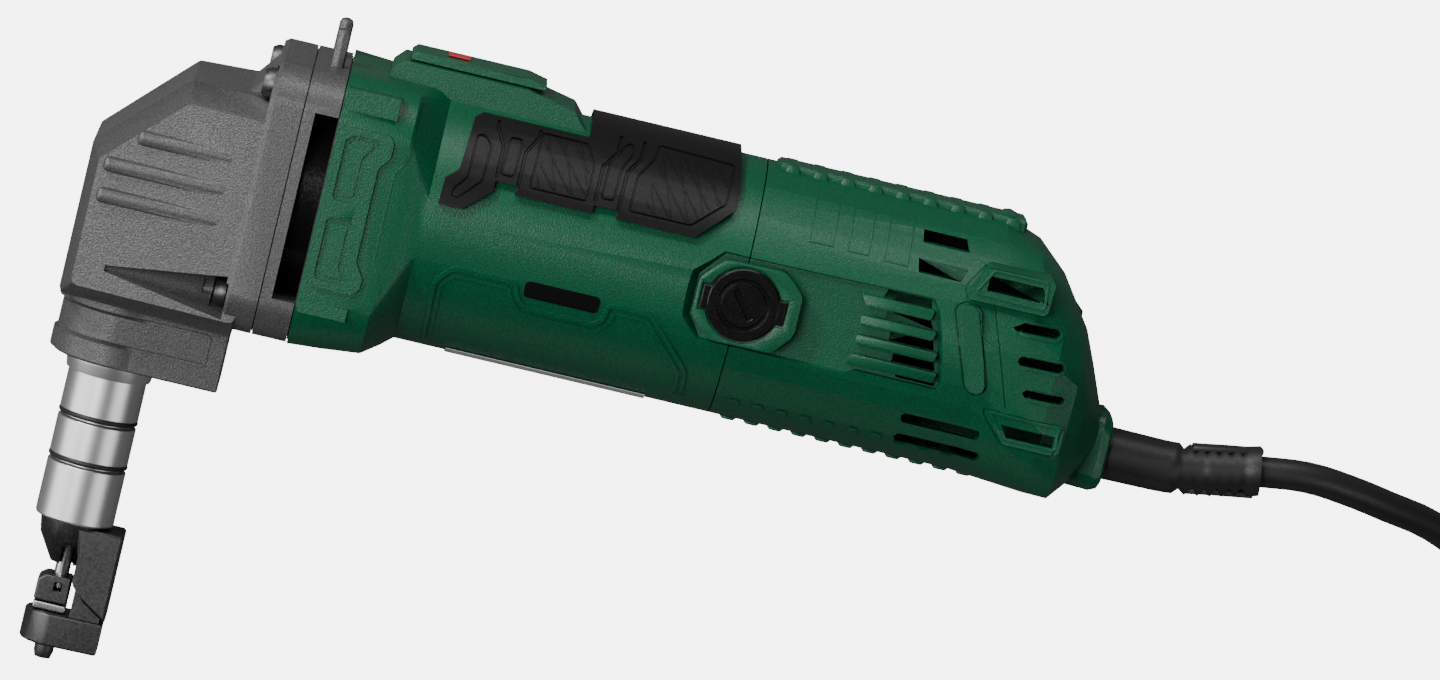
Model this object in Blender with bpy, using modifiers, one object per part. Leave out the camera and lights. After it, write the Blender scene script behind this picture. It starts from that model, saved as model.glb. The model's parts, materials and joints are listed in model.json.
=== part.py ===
"""Corded sheet-metal nibbler: die-cast gear head, turning cutting nose, motor body and mains lead.

The tool lies on its right side. +X runs along the body to the cord, +Y to the slide switch, and +Z out
of the left side. Every size below is in millimetres in the tool's own datum: x from near the punch,
y from near the body's lower third, z from the middle plane. at() moves that datum to the row frame.
"""

import math

import bmesh
import bpy
from mathutils import Matrix, Vector

MM = 0.001

# The row frame's origin, in the tool's datum: middle of the outline, on the resting side.
ORIGIN_X = 122.2
ORIGIN_Y = -25.25
REST_HALF_WIDTH = 34.9

GAP = 0.3

# Motor body
MOTOR_RADIUS = 32.6
MOTOR_WALL = 2.6
MOTOR_Y = 20.2
MOTOR_FRONT = 48.3
MOTOR_SPLIT = 154.4
BRUSH_X = 155.3
BOSS_HALF = 33.9
CAP_FLOOR = 33.1

# Gear head and flanges
FLANGE_Y = 17.7
FLANGE_HALF = 34.2
FLANGE_FRONT = 31.5
FLANGE_SPLIT = 39.2
SCREW_Y = (45.6, -7.6)
SCREW_Z = (25.0, -25.0)

# Crank drive: spur pair of module 1, then a crank pin in the ram's cross slot
PUNCH_X = 6.8
MODULE = 1.0
PINION_TEETH = 8
GEAR_TEETH = 30
CRANK_Y = MOTOR_Y - MODULE * (PINION_TEETH + GEAR_TEETH) / 2
CRANK_THROW = 3.0

# Cutting nose
NOSE_TOP = -17.0
BARREL_RADIUS = 10.0
BARREL_END = -75.9
GROOVES = (-48.7, -60.1)
PUNCH_END = -93.6
DIE_SCREW_END = -112.0

# Rear housing
REAR_END = 249.6
CLAMP_END = 254.0

# Mains lead: 3 m of 8 mm rubber cable, the part that isn't in use wound into one coil
CORD_RADIUS = 4.0
CORD_START = (294.0, 4.9, 0.0)
COIL_CENTRE = (440.0, 6.0)
PLUG_X = 507.6
PLUG_START = 37.0
PLUG_HEIGHT = 7.3
COIL_MEAN_RADIUS = 48.0
COIL_WIDE = 3
COIL_HIGH = 3

# Side outlines in (x, y): the raised octagon round each brush cap, and the collar's panel and its windows
BOSS_OUTLINE = [
    (143.4, 15.0),
    (143.4, 24.6),
    (148.8, 30.2),
    (164.0, 30.4),
    (169.2, 25.6),
    (169.2, 15.4),
    (164.6, 10.0),
    (148.8, 9.8),
]
COLLAR_PANEL = [
    (48.7, 38.2),
    (51.3, 40.8),
    (61.3, 40.8),
    (62.7, 39.4),
    (62.7, 35.4),
    (60.3, 32.2),
    (60.3, 8.6),
    (62.7, 4.8),
    (62.7, 2.0),
    (60.9, 0.2),
    (51.0, 0.2),
    (48.7, 2.6),
]
COLLAR_WINDOWS = (
    [(50.9, 22.4), (57.2, 22.4), (57.2, 33.2), (59.6, 36.6), (59.3, 39.1), (53.2, 39.1), (50.9, 37.6)],
    [(50.9, 18.0), (57.6, 18.0), (57.6, 6.4), (59.8, 3.4), (59.4, 2.2), (51.8, 2.2), (50.9, 3.2)],
)

PARTS = "sheet_metal_nibbler"
CUTTERS = "cutters"

GREEN = ("green_plastic", (0.010, 0.098, 0.042), 0.42, 0.0)
GREY = ("cast_grey", (0.115, 0.117, 0.120), 0.45, 0.6)
SILVER = ("barrel_steel", (0.72, 0.72, 0.73), 0.28, 1.0)
BLACK_STEEL = ("black_steel", (0.022, 0.022, 0.024), 0.42, 0.7)
BRIGHT_STEEL = ("bright_steel", (0.66, 0.66, 0.67), 0.22, 1.0)
RUBBER = ("grip_rubber", (0.016, 0.015, 0.015), 0.62, 0.0)
BLACK_PLASTIC = ("black_plastic", (0.012, 0.012, 0.013), 0.30, 0.0)
RED = ("signal_red", (0.60, 0.03, 0.04), 0.4, 0.0)
COPPER = ("copper", (0.72, 0.33, 0.16), 0.35, 1.0)
CARBON = ("carbon", (0.03, 0.03, 0.032), 0.55, 0.0)
BRASS = ("brass", (0.70, 0.52, 0.24), 0.32, 1.0)
LAMINATION = ("lamination", (0.30, 0.30, 0.31), 0.45, 1.0)
LABEL = ("label_film", (0.55, 0.56, 0.56), 0.40, 0.0)
CABLE = ("cable_rubber", (0.014, 0.014, 0.014), 0.55, 0.0)

# Local +Z of a turned or extruded shape goes to this row axis.
TURN_TO = {
    "x": Matrix.Rotation(math.pi / 2, 4, "Y"),
    "y": Matrix.Rotation(-math.pi / 2, 4, "X"),
    "z": Matrix.Identity(4),
}
# An outline's local X and Y go to: x -> (y, z), y -> (x, z), z -> (x, y).
OUTLINE_TO = {
    "x": Matrix(((0, 0, 1, 0), (1, 0, 0, 0), (0, 1, 0, 0), (0, 0, 0, 1))),
    "y": Matrix(((1, 0, 0, 0), (0, 0, -1, 0), (0, 1, 0, 0), (0, 0, 0, 1))),
    "z": Matrix.Identity(4),
}


def at(x, y, z):
    """A point of the tool's datum in the row frame, in metres."""
    return Vector(((x - ORIGIN_X) * MM, (y - ORIGIN_Y) * MM, (z + REST_HALF_WIDTH) * MM))


def clear_scene():
    for obj in list(bpy.data.objects):
        bpy.data.objects.remove(obj, do_unlink=True)


def collection(name):
    found = bpy.data.collections.get(name) or bpy.data.collections.new(name)
    if name not in bpy.context.scene.collection.children:
        bpy.context.scene.collection.children.link(found)
    return found


def material(finish):
    name, colour, roughness, metallic = finish
    made = bpy.data.materials.get(name)
    if made is None:
        made = bpy.data.materials.new(name)
        made.use_nodes = True
        shader = made.node_tree.nodes["Principled BSDF"]
        shader.inputs["Base Color"].default_value = (*colour, 1.0)
        shader.inputs["Roughness"].default_value = roughness
        shader.inputs["Metallic"].default_value = metallic
        made.diffuse_color = (*colour, 1.0)
    return made


def new_object(name, mesh, matrix):
    obj = bpy.data.objects.new(name, mesh)
    collection(PARTS).objects.link(obj)
    obj.matrix_world = matrix
    return obj


def finished(obj, finish):
    """Gives a part its material and smooth shading on its round sides."""
    obj.data.materials.clear()
    obj.data.materials.append(material(finish))
    obj.data.shade_smooth()
    obj.data.set_sharp_from_angle(angle=math.radians(32))
    return obj


def as_cutter(obj):
    """Moves a helper out of the parts and hides it."""
    for group in list(obj.users_collection):
        group.objects.unlink(obj)
    collection(CUTTERS).objects.link(obj)
    obj.hide_render = True
    obj.display_type = "WIRE"
    return obj


def boolean(obj, other, operation):
    modifier = obj.modifiers.new(operation.lower() + "_" + other.name, "BOOLEAN")
    modifier.operation = operation
    modifier.solver = "EXACT"
    modifier.object = as_cutter(other)
    return obj


def cut(obj, *others):
    for other in others:
        boolean(obj, other, "DIFFERENCE")
    return obj


def join(obj, *others):
    for other in others:
        boolean(obj, other, "UNION")
    return obj


def keep_inside(obj, other):
    return boolean(obj, other, "INTERSECT")


def bevel(obj, width, segments=2, angle=30.0):
    modifier = obj.modifiers.new("edges", "BEVEL")
    modifier.width = width * MM
    modifier.segments = segments
    modifier.limit_method = "ANGLE"
    modifier.angle_limit = math.radians(angle)
    return obj


def baked(obj):
    """Applies an object's modifiers, so that it can be copied or joined as a plain mesh."""
    bpy.context.view_layer.update()
    graph = bpy.context.evaluated_depsgraph_get()
    mesh = bpy.data.meshes.new_from_object(obj.evaluated_get(graph))
    obj.modifiers.clear()
    obj.data = mesh
    return obj


def merged(name, objects):
    """One mesh object holding several shapes that don't touch, for use as a single cutter."""
    work = bmesh.new()
    for obj in objects:
        mesh = baked(obj).data
        mesh.transform(obj.matrix_world)
        work.from_mesh(mesh)
        bpy.data.objects.remove(obj, do_unlink=True)
    mesh = bpy.data.meshes.new(name)
    work.to_mesh(mesh)
    work.free()
    return new_object(name, mesh, Matrix.Identity(4))


def box(name, x, y, z):
    """A box between two limits on each axis."""
    work = bmesh.new()
    bmesh.ops.create_cube(work, size=1.0)
    size = Vector(((x[1] - x[0]) * MM, (y[1] - y[0]) * MM, (z[1] - z[0]) * MM))
    bmesh.ops.scale(work, vec=size, verts=work.verts)
    mesh = bpy.data.meshes.new(name)
    work.to_mesh(mesh)
    work.free()
    middle = at(sum(x) / 2, sum(y) / 2, sum(z) / 2)
    return new_object(name, mesh, Matrix.Translation(middle))


def cylinder(name, axis, centre, radius, low, high, segments=24, top_radius=None):
    """A round bar along an axis; low and high are measured from the centre."""
    work = bmesh.new()
    length = (high - low) * MM
    end_radius = radius if top_radius is None else top_radius
    bmesh.ops.create_cone(
        work, cap_ends=True, segments=segments, radius1=radius * MM, radius2=end_radius * MM, depth=length
    )
    bmesh.ops.translate(work, vec=(0, 0, (low + high) / 2 * MM), verts=work.verts)
    mesh = bpy.data.meshes.new(name)
    work.to_mesh(mesh)
    work.free()
    return new_object(name, mesh, Matrix.Translation(at(*centre)) @ TURN_TO[axis])


def turned(name, axis, centre, profile, segments=32):
    """A profile of (height, radius) points spun round an axis; it closes on the axis or as a ring."""
    points = [Vector((radius * MM, 0, height * MM)) for height, radius in profile]
    area = sum(a.x * b.z - b.x * a.z for a, b in zip(points, points[1:] + points[:1]))
    if area > 0:
        points.reverse()
    on_axis = min(point.x for point in points) < 1e-9
    mesh = bpy.data.meshes.new(name)
    edges = [(i, i + 1) for i in range(len(points) - 1)]
    if not on_axis:
        edges.append((len(points) - 1, 0))
    mesh.from_pydata(points, edges, [])
    obj = new_object(name, mesh, Matrix.Translation(at(*centre)) @ TURN_TO[axis])
    spin = obj.modifiers.new("turn", "SCREW")
    spin.steps = segments
    spin.render_steps = segments
    spin.use_merge_vertices = True
    spin.merge_threshold = 1e-6
    spin.use_smooth_shade = True
    return obj


def extruded(name, axis, outline, low, high):
    """A flat outline with thickness along an axis. For x it is (y, z), for y (x, z), for z (x, y)."""
    curve = bpy.data.curves.new(name, "CURVE")
    curve.dimensions = "2D"
    curve.fill_mode = "BOTH"
    curve.extrude = (high - low) / 2 * MM
    spline = curve.splines.new("POLY")
    spline.points.add(len(outline) - 1)
    start = {"x": (0, ORIGIN_Y, -REST_HALF_WIDTH), "y": (ORIGIN_X, 0, -REST_HALF_WIDTH)}
    start["z"] = (ORIGIN_X, ORIGIN_Y, 0)
    kept = {"x": (1, 2), "y": (0, 2), "z": (0, 1)}[axis]
    shift = [start[axis][index] for index in kept]
    for point, (a, b) in zip(spline.points, outline):
        point.co = ((a - shift[0]) * MM, (b - shift[1]) * MM, 0, 1)
    spline.use_cyclic_u = True
    middle = (low + high) / 2
    along = {
        "x": Vector((middle - ORIGIN_X, 0, 0)),
        "y": Vector((0, middle - ORIGIN_Y, 0)),
        "z": Vector((0, 0, middle + REST_HALF_WIDTH)),
    }
    matrix = Matrix.Translation(along[axis] * MM) @ OUTLINE_TO[axis]
    return curve_to_mesh(name, curve, matrix)


def curve_to_mesh(name, curve, matrix):
    """Makes a welded mesh from a curve and drops the curve."""
    guide = new_object(name + "_curve", curve, matrix)
    bpy.context.view_layer.update()
    graph = bpy.context.evaluated_depsgraph_get()
    mesh = bpy.data.meshes.new_from_object(guide.evaluated_get(graph))
    bpy.data.objects.remove(guide, do_unlink=True)
    work = bmesh.new()
    work.from_mesh(mesh)
    bmesh.ops.remove_doubles(work, verts=work.verts, dist=1e-6)
    bmesh.ops.dissolve_limit(work, angle_limit=1e-4, verts=work.verts, edges=work.edges)
    bmesh.ops.recalc_face_normals(work, faces=work.faces)
    work.to_mesh(mesh)
    work.free()
    mesh.name = name
    return new_object(name, mesh, matrix)


def loft(name, rings, pivot=(0.0, 0.0, 0.0), closed=False):
    """A skin over rings of equal point count: capped at both ends, or closed on itself as a tube wall."""
    start = at(*pivot)
    work = bmesh.new()
    loops = [[work.verts.new(at(*point) - start) for point in ring] for ring in rings]
    pairs = list(zip(loops, loops[1:]))
    if closed:
        pairs.append((loops[-1], loops[0]))
    for one, two in pairs:
        for i in range(len(one)):
            j = (i + 1) % len(one)
            work.faces.new((one[i], one[j], two[j], two[i]))
    if not closed:
        work.faces.new(list(reversed(loops[0])))
        work.faces.new(loops[-1])
    bmesh.ops.recalc_face_normals(work, faces=work.faces)
    mesh = bpy.data.meshes.new(name)
    work.to_mesh(mesh)
    work.free()
    return new_object(name, mesh, Matrix.Translation(start))


def section(x, low, high, half_width, radius, per_corner=10):
    """A rounded rectangle across the body at x, between two heights, as (x, y, z) points."""
    middle = (low + high) / 2
    reach_y = (high - low) / 2 - radius
    reach_z = half_width - radius
    points = []
    for corner, (side_y, side_z) in enumerate(((1, 1), (-1, 1), (-1, -1), (1, -1))):
        for i in range(per_corner):
            angle = math.radians(90 * (corner + (i + 0.5) / per_corner))
            y = middle + side_y * reach_y + radius * math.cos(angle)
            z = side_z * reach_z + radius * math.sin(angle)
            points.append((x, y, z))
    return points


def round_section(x, radius, per_corner=10):
    return section(x, MOTOR_Y - radius, MOTOR_Y + radius, radius, radius, per_corner)


def rounded_outline(points, radius, steps=3):
    """A closed outline with each corner turned into a short arc."""
    out = []
    count = len(points)
    for i, here in enumerate(points):
        corner = Vector(here)
        before = (Vector(points[i - 1]) - corner).normalized()
        after = (Vector(points[(i + 1) % count]) - corner).normalized()
        half_angle = before.angle(after) / 2
        reach = radius / math.tan(half_angle)
        centre = corner + (before + after).normalized() * radius / math.sin(half_angle)
        start = corner + before * reach - centre
        end = corner + after * reach - centre
        for k in range(steps + 1):
            blend = k / steps
            spoke = (start * (1 - blend) + end * blend).normalized() * radius
            out.append(tuple(centre + spoke))
    return out


def spread(outline, factor):
    """An outline enlarged about the middle of its box."""
    middle_x = (min(x for x, _ in outline) + max(x for x, _ in outline)) / 2
    middle_y = (min(y for _, y in outline) + max(y for _, y in outline)) / 2
    return [(middle_x + (x - middle_x) * factor, middle_y + (y - middle_y) * factor) for x, y in outline]


def slot_outline(x, y, cut_corner=0.8):
    """A slot with cut corners between two limits on each axis."""
    c = cut_corner
    return [
        (x[0] + c, y[0]),
        (x[1] - c, y[0]),
        (x[1], y[0] + c),
        (x[1], y[1] - c),
        (x[1] - c, y[1]),
        (x[0] + c, y[1]),
        (x[0], y[1] - c),
        (x[0], y[0] + c),
    ]


def slanted_outline(x, y, slant, cut_left=0.0):
    """A slot whose right end leans back by slant."""
    return [(x[0] + cut_left, y[0]), (x[1], y[0]), (x[1] - slant, y[1]), (x[0], y[1])]


def both_sides(name, outline, inner, outer):
    """The same block on the left and the right side of the body."""
    left = extruded(name + "_left", "z", outline, inner, outer)
    right = extruded(name + "_right", "z", outline, -outer, -inner)
    return left, right


# ---------------------------------------------------------------- gear head


def flare(x):
    """How far the gear head's side wall stands out at x: it widens towards the flange."""
    return 28.0 + 3.6 * min(max((x + 9.6) / 41.0, 0.0), 1.0)


def head_block():
    """The casting's outer form: a side outline whose edge band is narrower than its side walls."""
    outer_points = [(-9.6, -18.2), (-9.6, 21.0), (11.0, 41.4), (34.6, 42.0), (34.6, -18.2)]
    inset_points = [(-6.9, -14.0), (-6.9, 18.0), (11.8, 36.6), (34.6, 37.0), (34.6, -14.0)]
    outline = rounded_outline(outer_points, 1.6, 2)
    inset = rounded_outline(inset_points, 1.6, 2)
    side = [(x, y, flare(x)) for x, y in inset]
    edge = [(x, y, 17.5 + 0.2 * (x + 9.6)) for x, y in outline]
    rings = [
        side,
        edge,
        [(x, y, -z) for x, y, z in edge],
        [(x, y, -z) for x, y, z in side],
    ]
    return loft("gear_head", rings)


def head_ribs():
    """Three cooling ribs a side, level with the axis, that sink into the flaring wall."""
    shapes = []
    for x, y in ((-5.6, 9.6), (-5.6, 17.4), (1.2, 25.6)):
        rib = box("rib", (x, 26.0), (y - 1.9, y + 1.9), (-31.0, 31.0))
        bevel(rib, 1.3, 2)
        shapes.append(rib)
    return merged("head_ribs", shapes)


def make_gear_head():
    head = head_block()
    flange = loft(
        "head_flange",
        [
            section(30.6, FLANGE_Y - 33.4, FLANGE_Y + 33.4, 33.2, 11.0, 6),
            section(FLANGE_FRONT + 0.4, FLANGE_Y - FLANGE_HALF, FLANGE_Y + FLANGE_HALF, 34.0, 11.5, 6),
            section(FLANGE_SPLIT - GAP / 2, FLANGE_Y - FLANGE_HALF, FLANGE_Y + FLANGE_HALF, 34.0, 11.5, 6),
        ],
    )
    web = extruded("head_web", "z", [(24.0, 40.0), (31.6, 49.6), (35.4, 49.6), (35.4, 40.0)], -19.0, 19.0)
    collar_outline = [(34.3, -15.2), (34.3, 15.2), (PUNCH_X, 15.2)]
    for i in range(1, 12):
        angle = math.radians(90 + 15 * i)
        collar_outline.append((PUNCH_X + 15.2 * math.cos(angle), 15.2 * math.sin(angle)))
    collar_outline.append((PUNCH_X, -15.2))
    collar = extruded("head_collar", "y", collar_outline, -34.4, -12.0)
    bevel(collar, 0.8, 1)
    shoulder = cylinder("head_shoulder", "y", (PUNCH_X, 0, 0), 16.4, -20.6, -12.5, 24)
    rim = cylinder("head_rim", "y", (PUNCH_X, 0, 0), 16.0, -33.6, -28.6, 24)
    join(head, head_ribs(), flange, web, collar, shoulder, rim)

    scallops = []
    for y in SCREW_Y:
        for z in SCREW_Z:
            if y > 0:
                scallop = cylinder("scallop", "x", (FLANGE_FRONT, y, z), 3.0, -8.0, -0.2, 16, 5.2)
            else:
                scallop = cylinder("screw_pocket", "x", (FLANGE_FRONT, y, z), 4.4, -4.0, -0.2, 16)
            scallops.append(scallop)
    cut(head, merged("head_scallops", scallops))
    channels = []
    for z in SCREW_Z:
        outer = (FLANGE_FRONT, SCREW_Y[1] - 0.6, math.copysign(28.6, z))
        channels.append(cylinder("channel", "x", outer, 0.8, -31.0, -0.3, 20, 6.2))
    cut(head, merged("screw_channels", channels))
    holes = [cylinder("hole", "x", (0, y, z), 2.4, 25.0, 46.0, 12) for y in SCREW_Y for z in SCREW_Z]
    cut(head, merged("head_screw_holes", holes))

    gear_room = box("gear_room", (23.0, 34.0), (-15.6, 34.0), (-18.5, 18.5))
    bevel(gear_room, 2.5, 1)
    hub_room = box("hub_room", (28.0, 45.0), (-8.0, 36.0), (-19.0, 19.0))
    bevel(hub_room, 4.0, 2)
    ram_room = box("ram_room", (-5.2, 20.4), (-16.6, 19.2), (-12.6, 12.6))
    bevel(ram_room, 2.0, 1)
    bore = cylinder("nose_bore", "y", (PUNCH_X, 0, 0), BARREL_RADIUS + 0.15, -40.0, NOSE_TOP + GAP, 36)
    bearing_bore = cylinder("crank_bore", "x", (0, CRANK_Y, 0), 7.2, 18.0, 26.0, 24)
    ram_bore = cylinder("ram_bore", "y", (PUNCH_X, 0, 0), 6.3, -20.0, -14.0, 24)
    cut(head, gear_room, hub_room, ram_room, bearing_bore, bore, ram_bore)
    clamp_slot = box("clamp_slot", (22.0, 36.0), (-35.5, -20.8), (-0.8, 0.8))
    clamp_bolt_hole = cylinder("clamp_bolt_hole", "z", (27.0, -27.0, 0), 2.1, -20.0, 9.0, 12)
    cut(head, clamp_slot, clamp_bolt_hole)
    return finished(head, GREY)


def screw(name, axis, centre, head_radius, head_height, shank_radius, length, finish, sides=12):
    """A pan-head screw: the head rises from the centre along -axis, the shank goes along +axis."""
    profile = [
        (-head_height, 0.0),
        (-head_height, head_radius * 0.8),
        (-head_height * 0.55, head_radius),
        (0.0, head_radius),
        (0.0, shank_radius),
        (length, shank_radius),
        (length, 0.0),
    ]
    obj = turned(name, axis, centre, profile, sides)
    socket_top, socket_floor = -head_height - 1.0, -head_height * 0.4
    socket = cylinder(name + "_socket", axis, centre, head_radius * 0.45, socket_top, socket_floor, 6)
    return finished(cut(obj, socket), finish)


def make_head_screws():
    names = {0: "upper", 1: "lower"}
    for row, y in enumerate(SCREW_Y):
        for z in SCREW_Z:
            name = "head_screw_" + names[row] + ("_left" if z > 0 else "_right")
            screw(name, "x", (FLANGE_FRONT - 0.5, y, z), 3.9, 3.0, 2.0, 13.5, BLACK_STEEL)
    clamp = cylinder("nose_clamp_bolt", "z", (27.0, -27.0, 0), 1.9, -14.2, 8.6, 12)
    finished(clamp, BLACK_STEEL)


def make_bearing_flange():
    """The plate between gear head and motor: it carries two bearings and lets the fan's air out."""
    low, high = FLANGE_Y - FLANGE_HALF, FLANGE_Y + FLANGE_HALF
    body = loft(
        "bearing_flange",
        [
            section(FLANGE_SPLIT + GAP / 2, low, high, 34.0, 11.5, 6),
            section(MOTOR_FRONT - GAP, low, high, 34.0, 11.5, 6),
        ],
    )
    motor_hub = cylinder("motor_hub", "x", (0, MOTOR_Y, 0), 13.6, 34.0, 41.0, 32)
    crank_hub = cylinder("crank_hub", "x", (0, CRANK_Y, 0), 6.6, 34.0, 41.0, 24)
    fins = []
    for z in (-12.0, 12.0):
        fin = box("fin", (42.8, 46.4), (46.0, 61.5), (z - 2.2, z + 2.2))
        fins.append(bevel(fin, 1.4, 2))
    join(body, motor_hub, crank_hub, merged("lifting_fins", fins))
    fan_room = cylinder("fan_room", "x", (0, MOTOR_Y, 0), 29.2, 42.2, 60.0, 40)
    outlets = box("air_outlets", (42.2, 60.0), (-5.2, 42.0), (-40.0, 40.0))
    motor_bore = cylinder("motor_bearing_bore", "x", (0, MOTOR_Y, 0), 11.15, 33.0, 41.2, 32)
    shaft_hole = cylinder("shaft_hole", "x", (0, MOTOR_Y, 0), 6.0, 33.0, 44.0, 20)
    crank_bore = cylinder("crank_end_bore", "x", (0, CRANK_Y, 0), 4.4, 33.0, 40.4, 20)
    holes = [cylinder("hole", "x", (0, y, z), 2.2, 38.0, 44.6, 12) for y in SCREW_Y for z in SCREW_Z]
    cut(body, fan_room, outlets, motor_bore, shaft_hole, crank_bore, merged("flange_screw_holes", holes))
    return finished(body, GREY)


# ---------------------------------------------------------------- crank drive and cutting nose


def gear_outline(teeth, phase):
    """A spur outline of trapezoid teeth at the given module, as (y, z) about its own centre."""
    pitch = MODULE * teeth / 2
    points = []
    for tooth in range(teeth):
        root, tip = pitch - 1.2 * MODULE, pitch + 0.85 * MODULE
        for offset, radius in ((-0.30, root), (-0.14, tip), (0.14, tip), (0.30, root)):
            angle = phase + 2 * math.pi * (tooth + offset) / teeth
            points.append((radius * math.cos(angle), radius * math.sin(angle)))
    return points


def make_crank():
    """The big spur wheel, and the crankshaft with its disc and pin; both turn about the crank axis."""
    wheel_points = [(CRANK_Y + a, b) for a, b in gear_outline(GEAR_TEETH, 0.0)]
    wheel = extruded("crank_gear", "x", wheel_points, 25.4, 32.2)
    bore = cylinder("crank_gear_bore", "x", (0, CRANK_Y, 0), 5.0 + GAP, 20.0, 36.0, 20)
    finished(cut(wheel, bore), BRIGHT_STEEL)
    shaft = turned(
        "crankshaft",
        "x",
        (0, CRANK_Y, 0),
        [
            (15.4, 0),
            (15.4, 8.0),
            (19.4, 8.0),
            (19.4, 5.0),
            (33.0, 5.0),
            (33.0, 3.0),
            (39.9, 3.0),
            (39.9, 0),
        ],
        24,
    )
    pin = cylinder("crank_pin", "x", (0, CRANK_Y, CRANK_THROW), 2.6, 2.5, 16.0, 16)
    finished(join(shaft, pin), BRIGHT_STEEL)


def ring(name, axis, centre, inner, outer, low, high, finish, segments=22):
    obj = turned(name, axis, centre, [(low, inner), (low, outer), (high, outer), (high, inner)], segments)
    return finished(obj, finish)


def make_bearings():
    ring("crank_bush", "x", (0, CRANK_Y, 0), 5.3, 7.1, 20.6, 25.1, BRASS)
    ring("crank_end_bush", "x", (0, CRANK_Y, 0), 3.3, 4.3, 34.6, 40.1, BRASS, 20)
    ring("front_bearing", "x", (0, MOTOR_Y, 0), 4.3, 11.05, 34.2, 41.1, BRIGHT_STEEL)
    ring("rear_bearing", "x", (0, MOTOR_Y, 0), 3.85, 9.4, 176.3, 182.0, BRIGHT_STEEL)


def make_ram():
    """The plunger: a cross-slotted head that the crank pin drives, and a round stem down the barrel."""
    ram = box("ram", (-1.2, 14.6), (CRANK_Y - 13.4, CRANK_Y + 13.4), (-10.4, 10.4))
    bevel(ram, 1.2, 1)
    stem = cylinder("ram_stem", "y", (PUNCH_X, 0, 0), 5.8, -57.6, -10.0, 24)
    join(ram, stem)
    window = box("ram_window", (-6.0, 20.0), (CRANK_Y - 9.4, CRANK_Y + 9.4), (-6.4, 6.4))
    cut(ram, window)
    return finished(ram, BRIGHT_STEEL)


def make_punch():
    profile = [(-58.0, 0), (-58.0, 5.2), (-61.0, 5.2), (-62.0, 1.9), (PUNCH_END, 1.9), (PUNCH_END, 0)]
    return finished(turned("punch", "y", (PUNCH_X, 0, 0), profile, 20), BRIGHT_STEEL)


def make_barrel():
    """The silver barrel: two index grooves outside, a stepped bore for the ram inside."""
    outer = [(NOSE_TOP, 9.9), (-34.0, 9.9)]
    for top in GROOVES:
        outer += [(top + 0.4, BARREL_RADIUS), (top, 9.1), (top - 1.2, 9.1), (top - 1.6, BARREL_RADIUS)]
    outer += [(BARREL_END + 0.4, BARREL_RADIUS), (BARREL_END, 9.7)]
    inner = [(BARREL_END, 7.0), (-68.0, 7.0), (-68.0, 6.0 + GAP), (NOSE_TOP, 6.0 + GAP)]
    barrel = turned("barrel", "y", (PUNCH_X, 0, 0), outer + inner, 30)
    return finished(barrel, SILVER)


def make_nose_ring():
    """The index ring under the head, which the barrel turns with."""
    profile = [
        (-34.7, 10.05 + GAP),
        (-34.7, 11.3),
        (-35.6, 11.2),
        (-38.1, 10.7),
        (-38.1, 10.05 + GAP),
    ]
    return finished(turned("nose_ring", "y", (PUNCH_X, 0, 0), profile, 30), SILVER)


def make_die_holder():
    """The forged holder: a conical guide round the punch, a leg behind it, and a foot for the die."""
    guide = turned(
        "die_holder",
        "y",
        (PUNCH_X, 0, 0),
        [(-70.0, 0), (-70.0, 6.6), (-76.2, 6.6), (-76.2, 8.4), (-80.6, 7.6), (-87.2, 3.6), (-87.2, 0)],
        28,
    )
    leg_outline = [(8.0, -76.5), (20.2, -76.5), (20.2, -99.0), (14.0, -95.0), (10.0, -91.0), (10.0, -84.0)]
    leg = extruded("holder_leg", "z", leg_outline, -8.0, 8.0)
    bevel(leg, 0.7, 1)
    neck_outline = [(11.2, -84.0), (18.8, -84.0), (18.8, -106.0), (11.2, -106.0)]
    neck = extruded("holder_neck", "z", neck_outline, -5.4, 5.4)
    foot_points = [(19.9, -6.0), (19.9, 6.0), (PUNCH_X, 7.2)]
    for i in range(1, 8):
        angle = math.radians(90 + 22.5 * i)
        foot_points.append((PUNCH_X + 6.9 * math.cos(angle), 7.2 * math.sin(angle)))
    foot_points.append((PUNCH_X, -7.2))
    foot = extruded("holder_foot", "y", foot_points, -107.9, -99.6)
    bevel(foot, 1.0, 2)
    join(guide, leg, neck, foot)
    punch_bore = cylinder("punch_bore", "y", (PUNCH_X, 0, 0), 1.9 + GAP, -95.0, -60.0, 20)
    front_notch = cylinder("front_notch", "z", (PUNCH_X + 0.6, -83.2, 0), 1.7, 0.0, 12.0, 16)
    notch_slot = box("notch_slot", (PUNCH_X - 1.1, PUNCH_X + 2.3), (-90.0, -83.2), (0.0, 12.0))
    screw_hole = cylinder("die_screw_hole", "y", (PUNCH_X, 0, 0), 1.6, -110.0, -96.0, 12)
    cut(guide, punch_bore, front_notch, notch_slot, screw_hole)
    return finished(guide, BLACK_STEEL)


def make_die():
    """The die block with its punch hole, on a ground plate that the die screw holds to the foot."""
    outline = [(1.4, -97.2), (1.4, -91.8), (3.2, -90.4), (9.9, -90.4), (9.9, -97.2)]
    die = extruded("die", "z", outline, -4.6, 4.6)
    bevel(die, 0.4, 1)
    hole = cylinder("die_hole", "y", (PUNCH_X, 0, 0), 1.9 + GAP, -99.0, -89.0, 20)
    chip_window = box("die_chip_window", (PUNCH_X - 1.0, PUNCH_X + 1.0), (-94.2, -92.0), (0.0, 6.0))
    finished(cut(die, hole, chip_window), BLACK_STEEL)
    plate = box("die_plate", (1.6, 9.9), (-99.3, -97.5), (-5.0, 5.0))
    bevel(plate, 0.3, 1)
    finished(plate, BRIGHT_STEEL)
    screw("die_screw", "y", (PUNCH_X, -108.2, 0), 2.5, -DIE_SCREW_END - 108.2, 1.3, 7.4, BLACK_STEEL)


# ---------------------------------------------------------------- motor


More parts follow.
